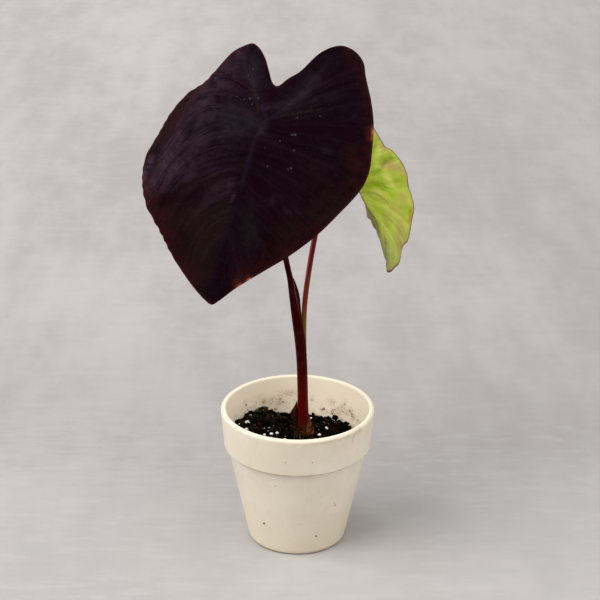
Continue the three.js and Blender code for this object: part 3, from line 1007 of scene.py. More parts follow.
def tuft(own, place, tallest, longest_lean, width):
    """One small leaf of moss, a thin closed blade of random height, lean and turn."""
    height, lean = own.uniform(0.7, tallest), own.uniform(0, longest_lean)
    turn = own.uniform(0, 6.283)
    out = np.array([math.cos(turn), math.sin(turn), 0.0])
    side = np.array([-math.sin(turn), math.cos(turn), 0.0])
    rings = []
    for t in (0.0, 0.4, 0.75):
        middle = place + np.array([0, 0, height * t]) + out * lean * t * t
        half = width * (1 - 0.7 * t)
        rings.append(
            np.array([middle - side * half, middle + out * half * 0.4, middle + side * half])
        )
    tip = place + np.array([0, 0, height]) + out * lean
    return closed_rings(rings, place, tip)


MOSS_SEED = 5
MOSS_TUFTS = 620


def make_moss():
    """The moss patch: a low lump covered with tufts."""
    middle = cad_box("moss_patch")[0]
    ball, faces = BALLS[4]
    swell = 1 + 0.7 * turbulence(ball, 0.42, 3, 2.2)
    spin = np.array(Matrix.Rotation(math.radians(42), 3, "Z"))
    base = ball * swell[:, None] * np.array([5.4, 2.6, 1.2])
    heap = Heap()
    heap.add(base @ spin.T + middle - np.array([0, 0, 0.5]), faces, 0.0)
    own = np.random.default_rng(MOSS_SEED)
    for _ in range(MOSS_TUFTS):
        a, r = own.uniform(0, 6.283), math.sqrt(own.uniform(0, 1))
        plan = spin @ np.array([6.0 * r * math.cos(a), 2.8 * r * math.sin(a), 0])
        place = middle + plan + [0, 0, 1.2 * math.sqrt(max(0, 1 - r * r)) - 0.8]
        leaf = tuft(own, place, 1.7, 1.0, 0.28)
        clump = turbulence(place[None], 2.4, 2, 3.0)[0]
        heap.add(*leaf, float(smooth(clump, -0.05, 0.3)) * own.uniform(0.5, 1))
    heap.finish("moss_patch", [MOSS_PAINT], "moss", ["moss_patch"])


make_moss()


# loose moss as (x, y, spread, how many)
SHOOT_GROUPS = [
    (-34, 22, 6, 260), (-18, 30, 7, 240), (-41, 12, 3, 90), (-4, 33, 4, 60), (14, 32, 4, 50),
    (22, 12, 3, 30),
]
SHOOT_SEED = 8


def make_loose_moss():
    """Sparse green shoots on the soil at the back and left."""
    heap = Heap()
    own = np.random.default_rng(SHOOT_SEED)
    for x, y, spread, count in SHOOT_GROUPS:
        for _ in range(count):
            p = np.array([x, y]) + own.normal(size=2) * spread * 0.6
            z = soil_top(p[None])[0]
            if np.hypot(*p) > inner_radius(z) - 2:
                continue
            leaf = tuft(own, np.array([*p, z - 0.1]), 1.6, 0.9, 0.24)
            heap.add(*leaf, own.uniform(0, 0.8))
    heap.finish("moss_shoots", [MOSS_PAINT], "moss")


make_loose_moss()

# ---- dirt on the pot wall ---------------------------------------------------------------

# groups of specks on the inner wall as (angle in degrees, spread, low z, high z, how many)
DIRT_GROUPS = [
    (120, 8, 84, 92, 26), (106, 8, 81, 92, 24), (92, 9, 84, 91, 12), (65, 6, 80, 87, 16),
    (54, 6, 79, 87, 14), (44, 6, 84, 93, 20), (34, 6, 84, 91, 18), (142, 10, 87, 94, 12),
    (18, 6, 83, 92, 9),
]
# single specks on the outer wall as (angle in degrees, height, size)
OUTER_SPECKS = [
    (-125.9, 25.4, 0.85), (-68.8, 16.8, 0.75), (-51.3, 42.2, 0.5), (-108.5, 64.3, 0.4),
    (-98.6, 87.8, 0.45), (-78.6, 87.7, 0.4), (-55.5, 34, 0.3), (-86.8, 30, 0.3),
    (-143.6, 68.1, 0.3), (-52.5, 44.5, 0.35),
]


DIRT_DRAWS = 23
DIRT_SEED = 2000


def speck_material():
    paint = Paint("dirt", Specular_IOR_Level=0.2)
    paint.base("shade", (58, 40, 22), (158, 120, 78))
    return paint.finish(0.9, paint.bump(paint.noise(0.4), 0.1, 0.5))


def make_dirt():
    """Specks and flakes of soil stuck to both sides of the pot's wall."""
    inside, outside = Heap(), Heap()
    own = np.random.default_rng(DIRT_DRAWS)
    seed = DIRT_SEED
    for middle, spread, low, high, count in DIRT_GROUPS:
        for _ in range(count):
            a = math.radians(middle + own.normal() * spread * 0.6)
            z = mix(low, high, own.uniform() ** 1.4)
            size = 0.15 + 0.34 * own.uniform() ** 4
            radii = size * np.array([1.4 * own.uniform(0.6, 1.4), 1.0, 0.8])
            place = polar(inner_radius(z) - 0.08, a, z)[0]
            inside.add(*lump(place, radii, 1, 0.5, seed), own.uniform())
            seed += 1
    for degrees, z, size in WALL_FLAKES:
        place = polar(inner_radius(z) - 0.1, math.radians(degrees), z)[0]
        radii = size * own.uniform(0.55, 1.2, 3) * [1.2, 1.0, 1.0]
        inside.add(*lump(place, radii, 2, 0.7, seed), own.uniform(0, 0.6))
        seed += 1
    for degrees, z, size in OUTER_SPECKS:
        place = polar(outer_radius(z) + 0.02, math.radians(degrees), z)[0]
        outside.add(*lump(place, size * np.array([1, 1, 0.7]), 2, 0.4, seed), 0.25)
        seed += 1
    material = speck_material()
    inside.finish("dirt_inside", [material], "soil")
    outside.finish("dirt_outside", [material], "soil")


make_dirt()

# ---- blades -----------------------------------------------------------------------------


def blade_axes(rise, yaw, lean):
    """Side, tip and face directions of a blade, from its turns in degrees."""
    rise, yaw, lean = (math.radians(a) for a in (rise, yaw, lean))
    face = np.array(
        [-math.sin(yaw) * math.cos(rise), -math.cos(yaw) * math.cos(rise), math.sin(rise)]
    )
    down = unit(np.array([0, 0, -1.0]) + face * face[2])
    across = np.cross(face, down)
    tip = down * math.cos(lean) - across * math.sin(lean)
    return np.cross(face, tip), tip, face


class Blade:
    """A leaf blade. bend(u, v) says how its flat outline folds: the way aside and the lift."""

    def __init__(self, joint, axes, outline, bend):
        self.joint = np.array(joint, float)
        self.side, self.tip, self.face = axes
        self.outline = outline
        self.bend = bend

    def points(self, uv):
        side, lift = self.bend(uv[:, 0], uv[:, 1])
        across, out = side[:, None] * self.side, lift[:, None] * self.face
        return self.joint + across + uv[:, 1:2] * self.tip + out

    def normals(self, uv):
        """Directions square to the blade, all on its face side."""
        du, dv = np.array([0.5, 0]), np.array([0, 0.5])
        across = self.points(uv + du) - self.points(uv - du)
        along = self.points(uv + dv) - self.points(uv - dv)
        normal = unit(np.cross(across, along))
        return np.where((normal @ self.face)[:, None] < 0, -normal, normal)

    def off(self, distance):
        """The joint moved off the face."""
        return self.joint + self.face * distance


# outlines are [u, v] in millimetres from the joint, where v points along the blade to its tip
MAIN = Blade(
    [-21, -8, 329],
    blade_axes(28, 5, 16),
    [
        [73.5, -5], [69.5, -20.5], [62.5, -36], [53, -52.5], [48, -61.5], [39.5, -67],
        [29.5, -67.5], [18.5, -59], [8.5, -40.5], [2.5, -33.5], [-3, -26], [-6.5, -27],
        [-12, -34.5], [-18, -43], [-24.5, -48.5], [-29.5, -50], [-35.5, -46], [-41, -40],
        [-47.5, -26], [-54, -13.5], [-64.5, -3], [-71, 10.5], [-75.5, 26.5], [-79.5, 44.5],
        [-75.5, 63], [-66, 80], [-51.5, 94], [-36.5, 109], [-18.5, 122.5], [-4.5, 130.5],
        [2, 132.5], [5.5, 129], [14.5, 116.5], [30, 98.5], [42.5, 84], [56, 64.5],
        [65.5, 46], [75, 24], [76.5, 11.5],
    ],
    lambda u, v: (u, 0.06 - 0.0013 * u * u - 0.0006 * (v - 10) ** 2),
)


def second_bend(u, v):
    """The pale blade folds along its midrib, and its tip hooks to one side."""
    fold = np.radians(np.where(u > 0, 57, 78 - 34 * smooth(v, 20, 62)))
    crease = np.hypot(u, 4) - 4
    hook = 0.0006 * v * v - 0.0075 * np.maximum(0, v - 45) ** 2
    return u * np.cos(fold) + hook, -crease * np.sin(fold) - 0.00096 * v * v


SECOND = Blade(
    [33, 22, 291],
    blade_axes(12, 24, -34),
    [
        [38.5, -2.5], [37.5, -13], [33, -26], [25, -35], [15, -33], [7, -24], [-1, -12],
        [-8, -24], [-16, -31], [-25, -29], [-33, -20], [-38, -8], [-41, 6], [-40, 20],
        [-37.5, 31], [-33, 38], [-23, 42.5], [-12.5, 46.5], [-9.5, 52.5], [-5.5, 57.5],
        [-8, 60.5], [-7.5, 66], [-7, 73], [-6, 79.5], [-6.5, 83.5], [-1, 85.5], [4.5, 84],
        [8.5, 83], [13, 75], [15.5, 72], [19, 71], [24, 65.5], [29.5, 58.5], [36.5, 50],
        [39, 41.5], [41.5, 34], [45.5, 25.5], [45.5, 14.5], [43.5, 6], [39, 1.5],
    ],
    second_bend,
)

# the ribs of the dark blade: the midrib and one rib into each lobe, in blade coordinates
MAIN_RIBS = [
    [
        [-1, 0], [-5, 14], [-5, 28], [-4, 45], [-3, 64], [-4, 84], [-4, 104], [-2, 120],
        [0.5, 130.5],
    ],
    [[-1, 0], [-6, -6], [-12.5, -14], [-20.5, -26.5], [-27.5, -42]],
    [[-1, 0], [5, -9], [14.5, -24.5], [19.5, -39], [27, -58]],
]
# side veins as (place in order from lobe to tip, [points])
MAIN_VEINS = [
    (-1, [
        [-4.5, 2], [-23, -3.5], [-36.5, -4.5], [-49.5, 0], [-57, 10.5], [-63.5, 26.5], [-70, 42],
    ]),
    (0, [[-4.5, 4], [-22, 3], [-40.5, 6.5], [-49.5, 16.5], [-56.5, 34], [-63, 54.5], [-66, 70]]),
    (1, [[-4.5, 11], [-20, 15.5], [-36, 23.5], [-48, 37], [-57, 54.5], [-60, 74]]),
    (2, [[-4.5, 28], [-21, 34.5], [-36, 45], [-46.5, 58.5], [-52, 74], [-52, 86]]),
    (3, [[-4, 45], [-18, 53.5], [-29, 65], [-36.5, 79.5], [-39, 96.5]]),
    (4, [[-3, 64], [-14, 72], [-21.5, 83], [-25.5, 97.5], [-25, 111.5]]),
    (5, [[-3.5, 81], [-10.5, 89.5], [-14.5, 101.5], [-14, 117.5]]),
    (-2, [[-12, -9], [-28.5, -15], [-41.5, -15], [-51.5, -9.5], [-60, 0], [-68, 10]]),
    (-3, [[-19, -22], [-31.5, -27.5], [-41, -29.5], [-46, -26]]),
    (-4, [[-22.5, -30.5], [-20.5, -38.5], [-19, -42]]),
    (-1, [[-4.5, 2], [16.5, -8], [30, -17], [44, -27], [57, -33], [64, -32]]),
    (0, [[-3.5, 4.5], [16, 2], [36.5, -1.5], [57.5, -4], [73, -4]]),
    (1, [[-4, 13], [16.5, 13.5], [38.5, 15], [57.5, 17], [74, 22]]),
    (2, [[-4.5, 28], [14.5, 30.5], [34.5, 35], [52.5, 41.5], [65, 47]]),
    (3, [[-4, 45], [12, 51.5], [29, 58.5], [44, 67.5], [51, 72]]),
    (4, [[-3, 64], [10.5, 72.5], [23, 82], [34, 92]]),
    (5, [[-3.5, 81], [4.5, 91.5], [11, 102], [17, 112]]),
    (-2, [[5, -9], [19, -20.5], [33.5, -32.5], [45.5, -41], [57, -45]]),
    (-3, [[14.5, -24.5], [25, -35.5], [36, -47.5], [48.5, -58]]),
    (-4, [[18.5, -37.5], [25, -50], [32, -63]]),
    (-5, [[14.5, -24.5], [10, -31], [11, -40]]),
]
# where the left margin starts to roll back, as blade u at blade v
ROLL_V = [-50, -12.5, 23.5, 51.5, 70, 95]
ROLL_U = [-47, -50, -57.5, -63, -64.5, -62]
# the left lobe sags below this line, in blade coordinates
FOLD_LINE = [[-3, 30], [-21, 38], [-38, 50], [-52, 66], [-66, 80]]
# painted sheen on the dark blade: pale strokes where its waxy surface catches the light, as (half
# width, strength, line in blade coordinates)
MAIN_SHEEN = [
    (5.5, 1.0, [[-62, 51], [-61, 36], [-59.5, 18], [-56, -1], [-51, -20]]),
    (5.0, 0.9, [[-59, 44], [-64, 60], [-66, 76]]),
    (4.0, 0.55, [[-52, 13], [-43, 3], [-32, -1.5], [-18, -2]]),
    (4.5, 0.7, [[-51, 33], [-43, 24], [-33, 17.5], [-17, 11]]),
    (4.0, 0.55, [[-52, 50], [-44, 40], [-35, 33], [-14, 25]]),
    (3.5, 0.45, [[-54, 66], [-47, 57], [-36, 50], [-11, 39]]),
    (4.0, 0.5, [[-39, -42], [-31, -35], [-24, -25], [-17, -15]]),
    (3.5, 0.22, [[16, -20], [20, -34], [26, -46]]),
    (3.0, 0.3, [[-8, -8], [6, -15.5], [27, -27], [44, -34]]),
    (1.3, 0.8, [[-7, 57], [-8, 64]]), (6.0, 0.28, [[-13, 50], [-26, 66], [-30, 84]]),
    (3.5, 0.9, [[-72.5, 50], [-72.5, 59]]), (3.0, 1.0, [[-76, 57], [-72, 66], [-67, 73.5]]),
    (3.5, 0.6, [[-65, 64], [-55.5, 54], [-48.5, 41.5]]),
    (2.5, 0.3, [[-4, 7], [2.5, 9.5], [8.5, 12]]),
    (3.5, 0.35, [[21, 50], [32, 54], [40, 52.5]]), (2.5, 0.3, [[43, 6], [49, 8.5]]),
]
# grey-green strokes beside the ribs
MAIN_GREY = [
    (9, 1.0, [[-14, 4], [-26, 6]]), (5, 0.9, [[-15, -17], [-25, -36]]),
    (5, 0.9, [[7, -14], [19, -38]]),
    (7, 0.6, [[6, 60], [14, 84]]), (8, 0.5, [[-12, 70], [-20, 96]]), (3, 0.6, [[-2, 1], [-3, 8]]),
]
# rusty strokes near the margin
MAIN_RUSTY = [
    (7, 1.0, [[-70, 66], [-56, 82], [-42, 100]]), (6, 0.7, [[-40, 104], [-18, 120]]),
    (8, 0.8, [[70, -30], [74, 0], [72, 30]]), (7, 0.7, [[56, 58], [36, 84], [18, 106]]),
    (5, 0.5, [[62, -33], [50, -52], [36, -64]]), (5, 0.6, [[-60, -6], [-71, 14], [-76, 34]]),
    (5, 0.9, [[35.5, 86], [43, 78], [48, 67.5]]),
    (4, 0.8, [[60.5, 0], [68.5, 13.5], [67.5, 25.5]]),
]
# dull brown strokes over the right half
MAIN_BROWN = [
    (11, 0.8, [[40.5, 27.5], [57.5, 35], [52.5, 50]]), (9, 0.8, [[43, 61], [33.5, 72]]),
    (7, 0.6, [[58, 8], [67, 19.5]]), (9, 0.6, [[-30, 75], [-20, 98]]),
]
# thin olive lines beside the ribs
MAIN_OLIVE = [
    (0.9, 1.0, [[-3.5, 0.5], [3, -4], [18, -13], [30.5, -19.5]]),
    (1.0, 0.9, [[-10, -4.5], [-14.5, -13.5], [-21.5, -25]]),
]
# darker red strokes in the same form
MAIN_SHADE = [
    (6.0, 1.0, [[3, 1], [10.5, 0.8], [28, -5], [52, -9], [66, -11]]),
    (3.5, 0.9, [[14, 29], [25.5, 30.5], [34.5, 31.5]]),
    (4.5, 0.9, [[2, 43.5], [10.5, 46.5], [16, 49.5]]),
    (3.0, 0.7, [[0, 57], [3.5, 60.5]]), (3.0, 0.8, [[-9, -10.5], [-4, -9.5], [-7, -5.5]]),
    (3.0, 0.5, [[24, 4.5], [36.5, 2.5], [50.5, 0.5]]),
    (16.0, 0.35, [[14, 20], [36, 34], [18, 58]]),
    (5.0, 0.8, [[-6, -15], [-3, -22], [11, -35]]),
    (4.0, 0.8, [[-56, 76], [-36, 67], [-13, 58], [2, 54]]),
    (4.0, 0.7, [[-28, -17], [-12, -19]]),
    (7.0, 0.6, [[4, 16], [16, 24], [34, 28], [50, 24]]),
]
# burnt places on the dark blade's margin as (u, v, radius)
MAIN_BURNS = [(15, 113, 3.4), (21, 107.5, 3.0), (70, -17, 4.4), (69.5, -12.5, 2.8)]
# white flecks on the dark blade as (u, v, radius)
MAIN_FLECKS = [
    (20, 2.7, 1.1), (18, 3.4, 0.8), (11.5, 10, 0.7), (22.7, 13.3, 0.9), (8.7, 29.7, 0.8),
    (24.7, 25.6, 1.0), (23, 27, 0.7), (-27.5, -10.5, 0.7), (-18.3, -12, 0.9),
    (-23, -32.4, 0.7), (-24.7, -27, 0.7), (17.4, -9, 0.8), (32, -15.3, 0.7),
    (-13, -14, 0.7), (-22, -10.3, 0.6), (-15.7, -8.6, 0.6), (3, 18, 0.4), (31, 9, 0.4),
]


def vein_fields(uv, ribs, veins, rib_width, vein_width):
    """How near each point is to a rib or side vein, and a number that runs across the veins."""
    rib, vein, order = np.zeros((3, len(uv)))
    rib_distance = np.full(len(uv), 1e9)
    weight_sum = np.full(len(uv), 1e-9)
    for line in ribs:
        d, along = line_distance(uv, spline(line, 6))
        rib = np.maximum(rib, np.exp(-(d / mix(*rib_width, along)) ** 2) * (1 - 0.5 * along))
        rib_distance = np.minimum(rib_distance, d)
    for place, line in veins:
        d, along = line_distance(uv, spline(line, 6))
        near = np.exp(-(d / mix(*vein_width, along)) ** 2) * (1 - 0.45 * along)
        vein = np.maximum(vein, near)
        weight = 1 / (d + 0.6) ** 3
        weight_sum += weight
        order += place * weight
    return rib, rib_distance, vein, order / weight_sum


def blade_mesh(blade, relief, spokes, front_rings, back_rings, crinkle):
    """Both skins of a blade in one closed mesh, with its fields and a material for each face.

    relief(uv, edge) gives the lift of the middle, the thickness in front and behind, and fields.
    """
    rim = even(spline(blade.outline, 12, closed=True), spokes, closed=True)
    reach = np.linalg.norm(rim, axis=1)
    along = np.cumsum(np.linalg.norm(rim - np.roll(rim, 1, axis=0), axis=1))
    wave = 0.5 + 0.5 * np.sin(along / 1.35 + 2.2 * np.sin(along / 7))
    share = smooth(-rim[:, 0], 20, 48) * smooth(rim[:, 1], -40, 0)
    rim = rim * (1 - crinkle * wave * share / reach)[:, None]
    reach = np.linalg.norm(rim, axis=1)
    back = [(k / back_rings) ** 0.9 for k in range(1, back_rings)] + [0.996]
    front = [0.996] + [(k / front_rings) ** 0.9 for k in range(front_rings - 1, 0, -1)]
    shares = back + [1.0] + front
    uv, faces = closed_rings([rim * s for s in shares], [0, 0], [0, 0])
    edge = np.concatenate([[30.0], *[reach * (1 - s) for s in shares], [30.0]])
    sign = np.repeat([-1, 0, 1], [1 + spokes * len(back), spokes, spokes * len(front) + 1])
    middle, front_lift, back_lift, fields = relief(uv, edge)
    lift = middle + np.where(sign > 0, front_lift, 0) - np.where(sign < 0, back_lift, 0)
    points = blade.points(uv) + blade.normals(uv) * lift[:, None]
    back_faces = spokes * (1 + len(back))
    which = [0] * back_faces + [1] * (len(faces) - back_faces)
    fields.update(blade_u=uv[:, 0], blade_v=uv[:, 1], edge=edge)
    return points, faces, fields, which


def main_relief(uv, edge):
    """Pleats between the veins, waves, the rolled left margin and the sagging lobe."""
    u, v = uv.T
    rib, rib_distance, vein, order = vein_fields(uv, MAIN_RIBS, MAIN_VEINS, (2.0, 0.8), (1.1, 0.6))
    inland = smooth(edge, 0, 6)
    uneven = 0.55 + 0.9 * turbulence(uv, 30, 2, 14.0)
    pleat = -0.2 * np.cos(2 * math.pi * order) * smooth(rib_distance, 1, 14)
    pleat = pleat * (0.35 + 0.65 * inland) * uneven
    wave = turbulence(uv, 38, 2, 3.0) + 0.16 * turbulence(uv, 9, 2, 9.0)
    past = np.maximum(0, np.interp(v, ROLL_V, ROLL_U) - u)
    roll = -0.02 * past ** 2 - 0.1 * past
    fold = spline(FOLD_LINE, 6)[::-1]
    low = (v - np.interp(u, fold[:, 0], fold[:, 1])) * smooth(-u, 0, 36)
    tuck = -0.05 * np.maximum(0, low) * smooth(low, 0, 8)
    ripple = 0.7 * np.sin(v / 6.5 + 0.8 * np.sin(u / 9)) * (1 - smooth(edge, 0, 9))
    middle = pleat + wave * inland + roll + tuck + ripple * smooth(np.abs(u), 30, 60)
    thick = 0.12 + 0.2 * smooth(edge, 0, 1.6)
    front = thick + 0.16 * rib * np.exp(-rib_distance) - 0.07 * vein
    back = thick + 1.35 * rib + 0.55 * vein
    # the painted sheen also spreads wide inward of its first stroke
    band = line_distance(uv, spline(MAIN_SHEEN[0][2], 6))[0]
    inward = np.where(past > 0, 4.0, 22.0)
    wide = 0.42 * np.exp(-(band / inward) ** 2) * (1 - 0.8 * smooth(low, -4, 4))
    fields = {
        "rib": rib, "vein": vein, "order": order, "away": rib_distance,
        "burn": spots(uv, MAIN_BURNS), "fleck": spots(uv, MAIN_FLECKS),
        "roll": np.clip(past / 6, 0, 1) * (1 - 0.9 * smooth(v, 20, 42)),
        "painted_sheen": np.maximum(wide, 0.9 * strokes(uv, MAIN_SHEEN, 0.85)),
        "shadow": strokes(uv, MAIN_SHADE), "below": smooth(low, -2, 8),
        "grey": strokes(uv, MAIN_GREY), "rusty": strokes(uv, MAIN_RUSTY),
        "brown": strokes(uv, MAIN_BROWN), "olive": strokes(uv, MAIN_OLIVE),
    }
    return middle, front, back, fields


class BladePaint(Paint):
    """Paint laid out flat on a blade: plane is its own u and v, and flow runs along its veins."""

    def __init__(self, name, across_veins, from_rib, **constants):
        super().__init__(name, **constants)
        self.plane = self.vector("blade_u", "blade_v")
        self.flow = self.vector(self.times("order", across_veins), self.times("away", from_rib))


def main_front_material():
    paint = BladePaint(
        "leaf_dark_face", 14, 0.12, Specular_IOR_Level=0.03, Specular_Tint=(1.0, 0.6, 0.85, 1.0)
    )
    streak = paint.noise(2.6, 5, 0.6, paint.flow)
    fine_streak = paint.noise(0.8, 3, 0.6, paint.flow)
    cloud = paint.noise(26, 4, 0.6, paint.plane)
    dust = paint.noise(1.3, 4, 0.7, paint.plane)
    net = paint.cells(3.4, "DISTANCE_TO_EDGE", paint.plane)
    blotch = paint.noise(6.5, 5, 0.7, paint.plane, 0.5)
    paint.base(paint.remap(streak, 0.35, 0.68), (10, 1, 5), (24, 9, 17))
    paint.wash(cloud, 0.4, 0.65, 0.6, (14, 8, 10))
    paint.wash(blotch, 0.42, 0.3, 0.7, (7, 1, 4))
    paint.wash(blotch, 0.54, 0.7, 0.6, (38, 22, 34))
    paint.wash(fine_streak, 0.5, 0.8, 0.3, (44, 27, 40))
    # painted shade: darker towards the right half, away from the light
    paint.coat(paint.remap("blade_u", -42, 4, 0.04, 0.42), (4, 0, 2))
    paint.coat(paint.times("grey", paint.remap(blotch, 0.3, 0.6, 0.35, 1), 0.75), (29, 26, 27))
    # the sagging lower left lobe is darker and browner: partly its own colour, partly painted
    # shade where it tilts away from the light
    earthy = paint.blend(fine_streak, (13, 4, 4), (30, 18, 15))
    paint.coat(paint.times("below", paint.remap(cloud, 0.3, 0.6, 0.9, 0.35)), earthy)
    paint.coat(paint.times("rusty", paint.remap(blotch, 0.35, 0.6, 0.3, 1), 0.8), (42, 12, 13))
    dusty = paint.blend(dust, (14, 6, 6), (34, 20, 18))
    paint.coat(paint.times("brown", paint.remap(blotch, 0.35, 0.6, 0.4, 1), 0.8), dusty)
    paint.coat(paint.times("olive", paint.remap(dust, 0.38, 0.6), 0.38), (54, 45, 35))
    paint.wash(dust, 0.52, 0.72, 0.35, (39, 25, 33))
    paint.coat(paint.times("rib", paint.remap("blade_v", 38, 54, 0.17, 0.05)), (54, 38, 58))
    paint.coat(paint.times("vein", 0.1), (54, 40, 50))
    paint.coat(paint.times("shadow", paint.remap(streak, 0.3, 0.65, 0.9, 0.45)), (17, 1, 7))
    # painted sheen where the waxy surface catches the light
    sheen_share = paint.remap(streak, 0.36, 0.6, 0.12, 1)
    sheen_share = paint.times("painted_sheen", sheen_share, paint.remap(blotch, 0.34, 0.6, 0.35, 1), 0.95)
    paint.coat(sheen_share, (69, 54, 66))
    # the rolled-back left margin: partly its own reddish colour, partly painted shade where it
    # turns away from the light
    paint.coat(paint.times("roll", paint.remap(streak, 0.34, 0.64, 0.35, 0.95)), (38, 16, 19))
    paint.coat(paint.times("roll", paint.remap(fine_streak, 0.5, 0.36, 0, 0.8)), (14, 3, 6))
    paint.wash("edge", 2.6, 0.0, 0.6, (58, 22, 22))
    burn = paint.times("burn", paint.remap(dust, 0.25, 0.6, 0.5, 1))
    paint.wash(burn, 0.02, 0.5, 0.6, (58, 24, 14))
    scorch_and_glow = paint.times(burn, paint.remap("edge", 0.4, 3.6, 1.0, 0.0))
    # burnt margin in two steps: a dark orange burn, then its brightest middle, painted light
    # shining through the thin dead tissue
    paint.wash(scorch_and_glow, 0.15, 0.6, 0.8, (122, 54, 30))
    paint.wash(scorch_and_glow, 0.6, 0.95, 0.75, (196, 122, 92))
    paint.wash(dust, 0.68, 0.78, 0.35, (70, 56, 66))
    paint.wash("fleck", 0.2, 0.9, 0.42, (98, 84, 90))
    height = paint.times(paint.remap(net, 0.0, 0.18), 0.5)
    height = paint.plus(height, paint.times(fine_streak, 0.9))
    normal = paint.bump(height, 0.16, 0.55, paint.bump(streak, 0.5, 0.5))
    return paint.finish(paint.remap(streak, 0.3, 0.7, 0.36, 0.48), normal)


def main_back_material():
    paint = BladePaint("leaf_dark_underside", 14, 0.12, Specular_IOR_Level=0.3)
    streak = paint.noise(2.2, 5, 0.6, paint.flow)
    cloud = paint.noise(22, 4, 0.6, paint.plane)
    net = paint.cells(3.0, "DISTANCE_TO_EDGE", paint.plane)
    paint.base(paint.remap(streak, 0.35, 0.68), (52, 24, 36), (74, 42, 54))
    paint.wash(cloud, 0.42, 0.66, 0.6, (62, 46, 46))
    paint.wash(net, 0.12, 0.0, 0.35, (92, 52, 62))
    paint.coat(paint.times("vein", 0.7), (108, 44, 54))
    paint.coat(paint.times("rib", 0.85), (92, 30, 38))
    paint.wash("burn", 0.2, 0.8, 0.9, (150, 84, 40))
    normal = paint.bump(paint.remap(net, 0.0, 0.16), 0.12, 0.6, paint.bump(streak, 0.4, 0.4))
    return paint.finish(paint.remap(streak, 0.3, 0.7, 0.5, 0.66), normal)


def make_main_blade():
    points, faces, fields, which = blade_mesh(
        MAIN, main_relief, spokes=420, front_rings=92, back_rings=50, crinkle=0.65
    )
    skins = [main_back_material(), main_front_material()]
    add_piece("leaf_main", points, faces, skins, ["leaf_main"], fields, which)


make_main_blade()

SECOND_RIBS = [
    [[0, 0], [0, 20], [-1, 34], [-0.5, 44], [4, 57], [6.5, 65.5], [7.5, 72], [4, 83]],
    [[0, 0], [-8, -10], [-15, -19], [-20, -27]],
    [[0, 0], [8, -10], [15, -19], [22, -31]],
]
SECOND_VEINS = [
    (-2, [[8, -10], [19, -15], [30, -20], [35, -20]]),
    (-1, [[0, 0], [12, -3], [26, -6], [38, -6]]),
    (0, [[0, 5], [12, 6], [26, 7], [42, 7]]),
    (1, [[0, 14], [12, 16], [26, 18], [44, 20]]),
    (2, [[0, 22], [8, 26.5], [16, 34], [22, 43], [28, 55]]),
    (3, [[0, 34], [8, 41], [15, 51], [19, 62], [20, 68]]),
    (4, [[0, 46], [7, 55], [12, 66], [13, 73]]),
    (5, [[6, 64], [8, 73], [8, 80]]),
    (-2, [[-8, -10], [-19, -14], [-30, -18]]),
    (-1, [[0, 0], [-12, -2], [-26, -4], [-37, -4]]),
    (0, [[0, 5], [-12, 7], [-26, 9], [-39, 11]]),
    (1, [[0, 14], [-12, 18], [-25, 24], [-36, 31]]),
    (2, [[0, 24], [-8, 29], [-16, 36], [-22, 41]]),
    (3, [[0, 36], [-5, 41], [-9, 47]]),
    (4, [[2, 50], [-3, 56], [-6, 64], [-6.5, 72]]),
    (5, [[5, 62], [1, 70], [-2, 80]]),
]
# the line between the halves of the pale blade, as blade v and blade u
SECOND_RIDGE = ([-40, 34, 44, 57, 65.5, 72, 90], [0, -3, -5, -3, 0, 1, 0])
# marks on the pale blade as (half width, strength, line in blade coordinates)
# deeper green where the blade folds: painted shade
SECOND_FOLD_SHADE = [
    (3.4, 1.0, [[5, 21], [9, 23], [16, 24], [21, 28]]), (2.8, 1.0, [[17, 15], [23.5, 15.7]]),
    (2.8, 1.0, [[28, 8.5], [34, 10.5], [38.5, 10.3]]), (2.6, 0.7, [[27, 1], [34, -6]]),
    (2.2, 0.6, [[33, 26.5], [39.5, 27]]), (3.2, 0.7, [[9, 44], [7, 54]]),
    (2.6, 0.6, [[6, 30], [11.5, 37]]), (3.5, 0.5, [[12, 4], [20, 8]]),
]
# paler strokes along the ridges: painted highlights
SECOND_HIGHLIGHTS = [
    (2.4, 0.9, [[24.6, 12], [31, 3], [35.5, -1.5]]), (1.8, 1.0, [[24, 19], [28, 25.5], [29, 30]]),
    (2.4, 0.7, [[1.5, 57.5], [5, 69], [9, 77]]), (2.2, 0.5, [[15, 49], [15, 56]]),
    (5.0, 0.45, [[12, 44], [14, 56]]), (4.0, 0.4, [[8, 30], [14, 38]]),
    (2.2, 0.6, [[10, 13], [16, 11]]),
]
SECOND_PINK = [
    (3.6, 1.0, [[34, 15], [41, 20]]), (2.6, 0.8, [[36, 3], [41, 1]]),
    (3.0, 0.8, [[18.5, 56], [12.5, 66], [13, 72]]), (2.2, 0.6, [[32, 38.5], [29, 46]]),
    (1.8, 0.5, [[24, 44], [23.5, 51]]), (1.6, 0.6, [[30, 13], [28.5, 16.5]]),
    (2.0, 0.6, [[34, -12], [38, -6]]), (2.2, 0.5, [[9, 52], [13, 47], [19, 44]]),
]
SECOND_ORANGE = [
    (1.2, 1.0, [[32, 50], [29.6, 54], [26.7, 58]]), (1.3, 0.7, [[13, 69.5], [13.6, 74]]),
]
SECOND_DARK = [
    (1.1, 1.0, [[-10, 23], [-4, 34], [-1, 45]]), (0.8, 0.7, [[-1, 45], [-2.6, 56]]),
    (0.9, 0.5, [[-10, 23], [7.6, 28], [12.7, 32.4], [17.4, 40]]),
    (0.9, 0.45, [[33.5, 11], [31, 12.6], [28, 14]]),
]


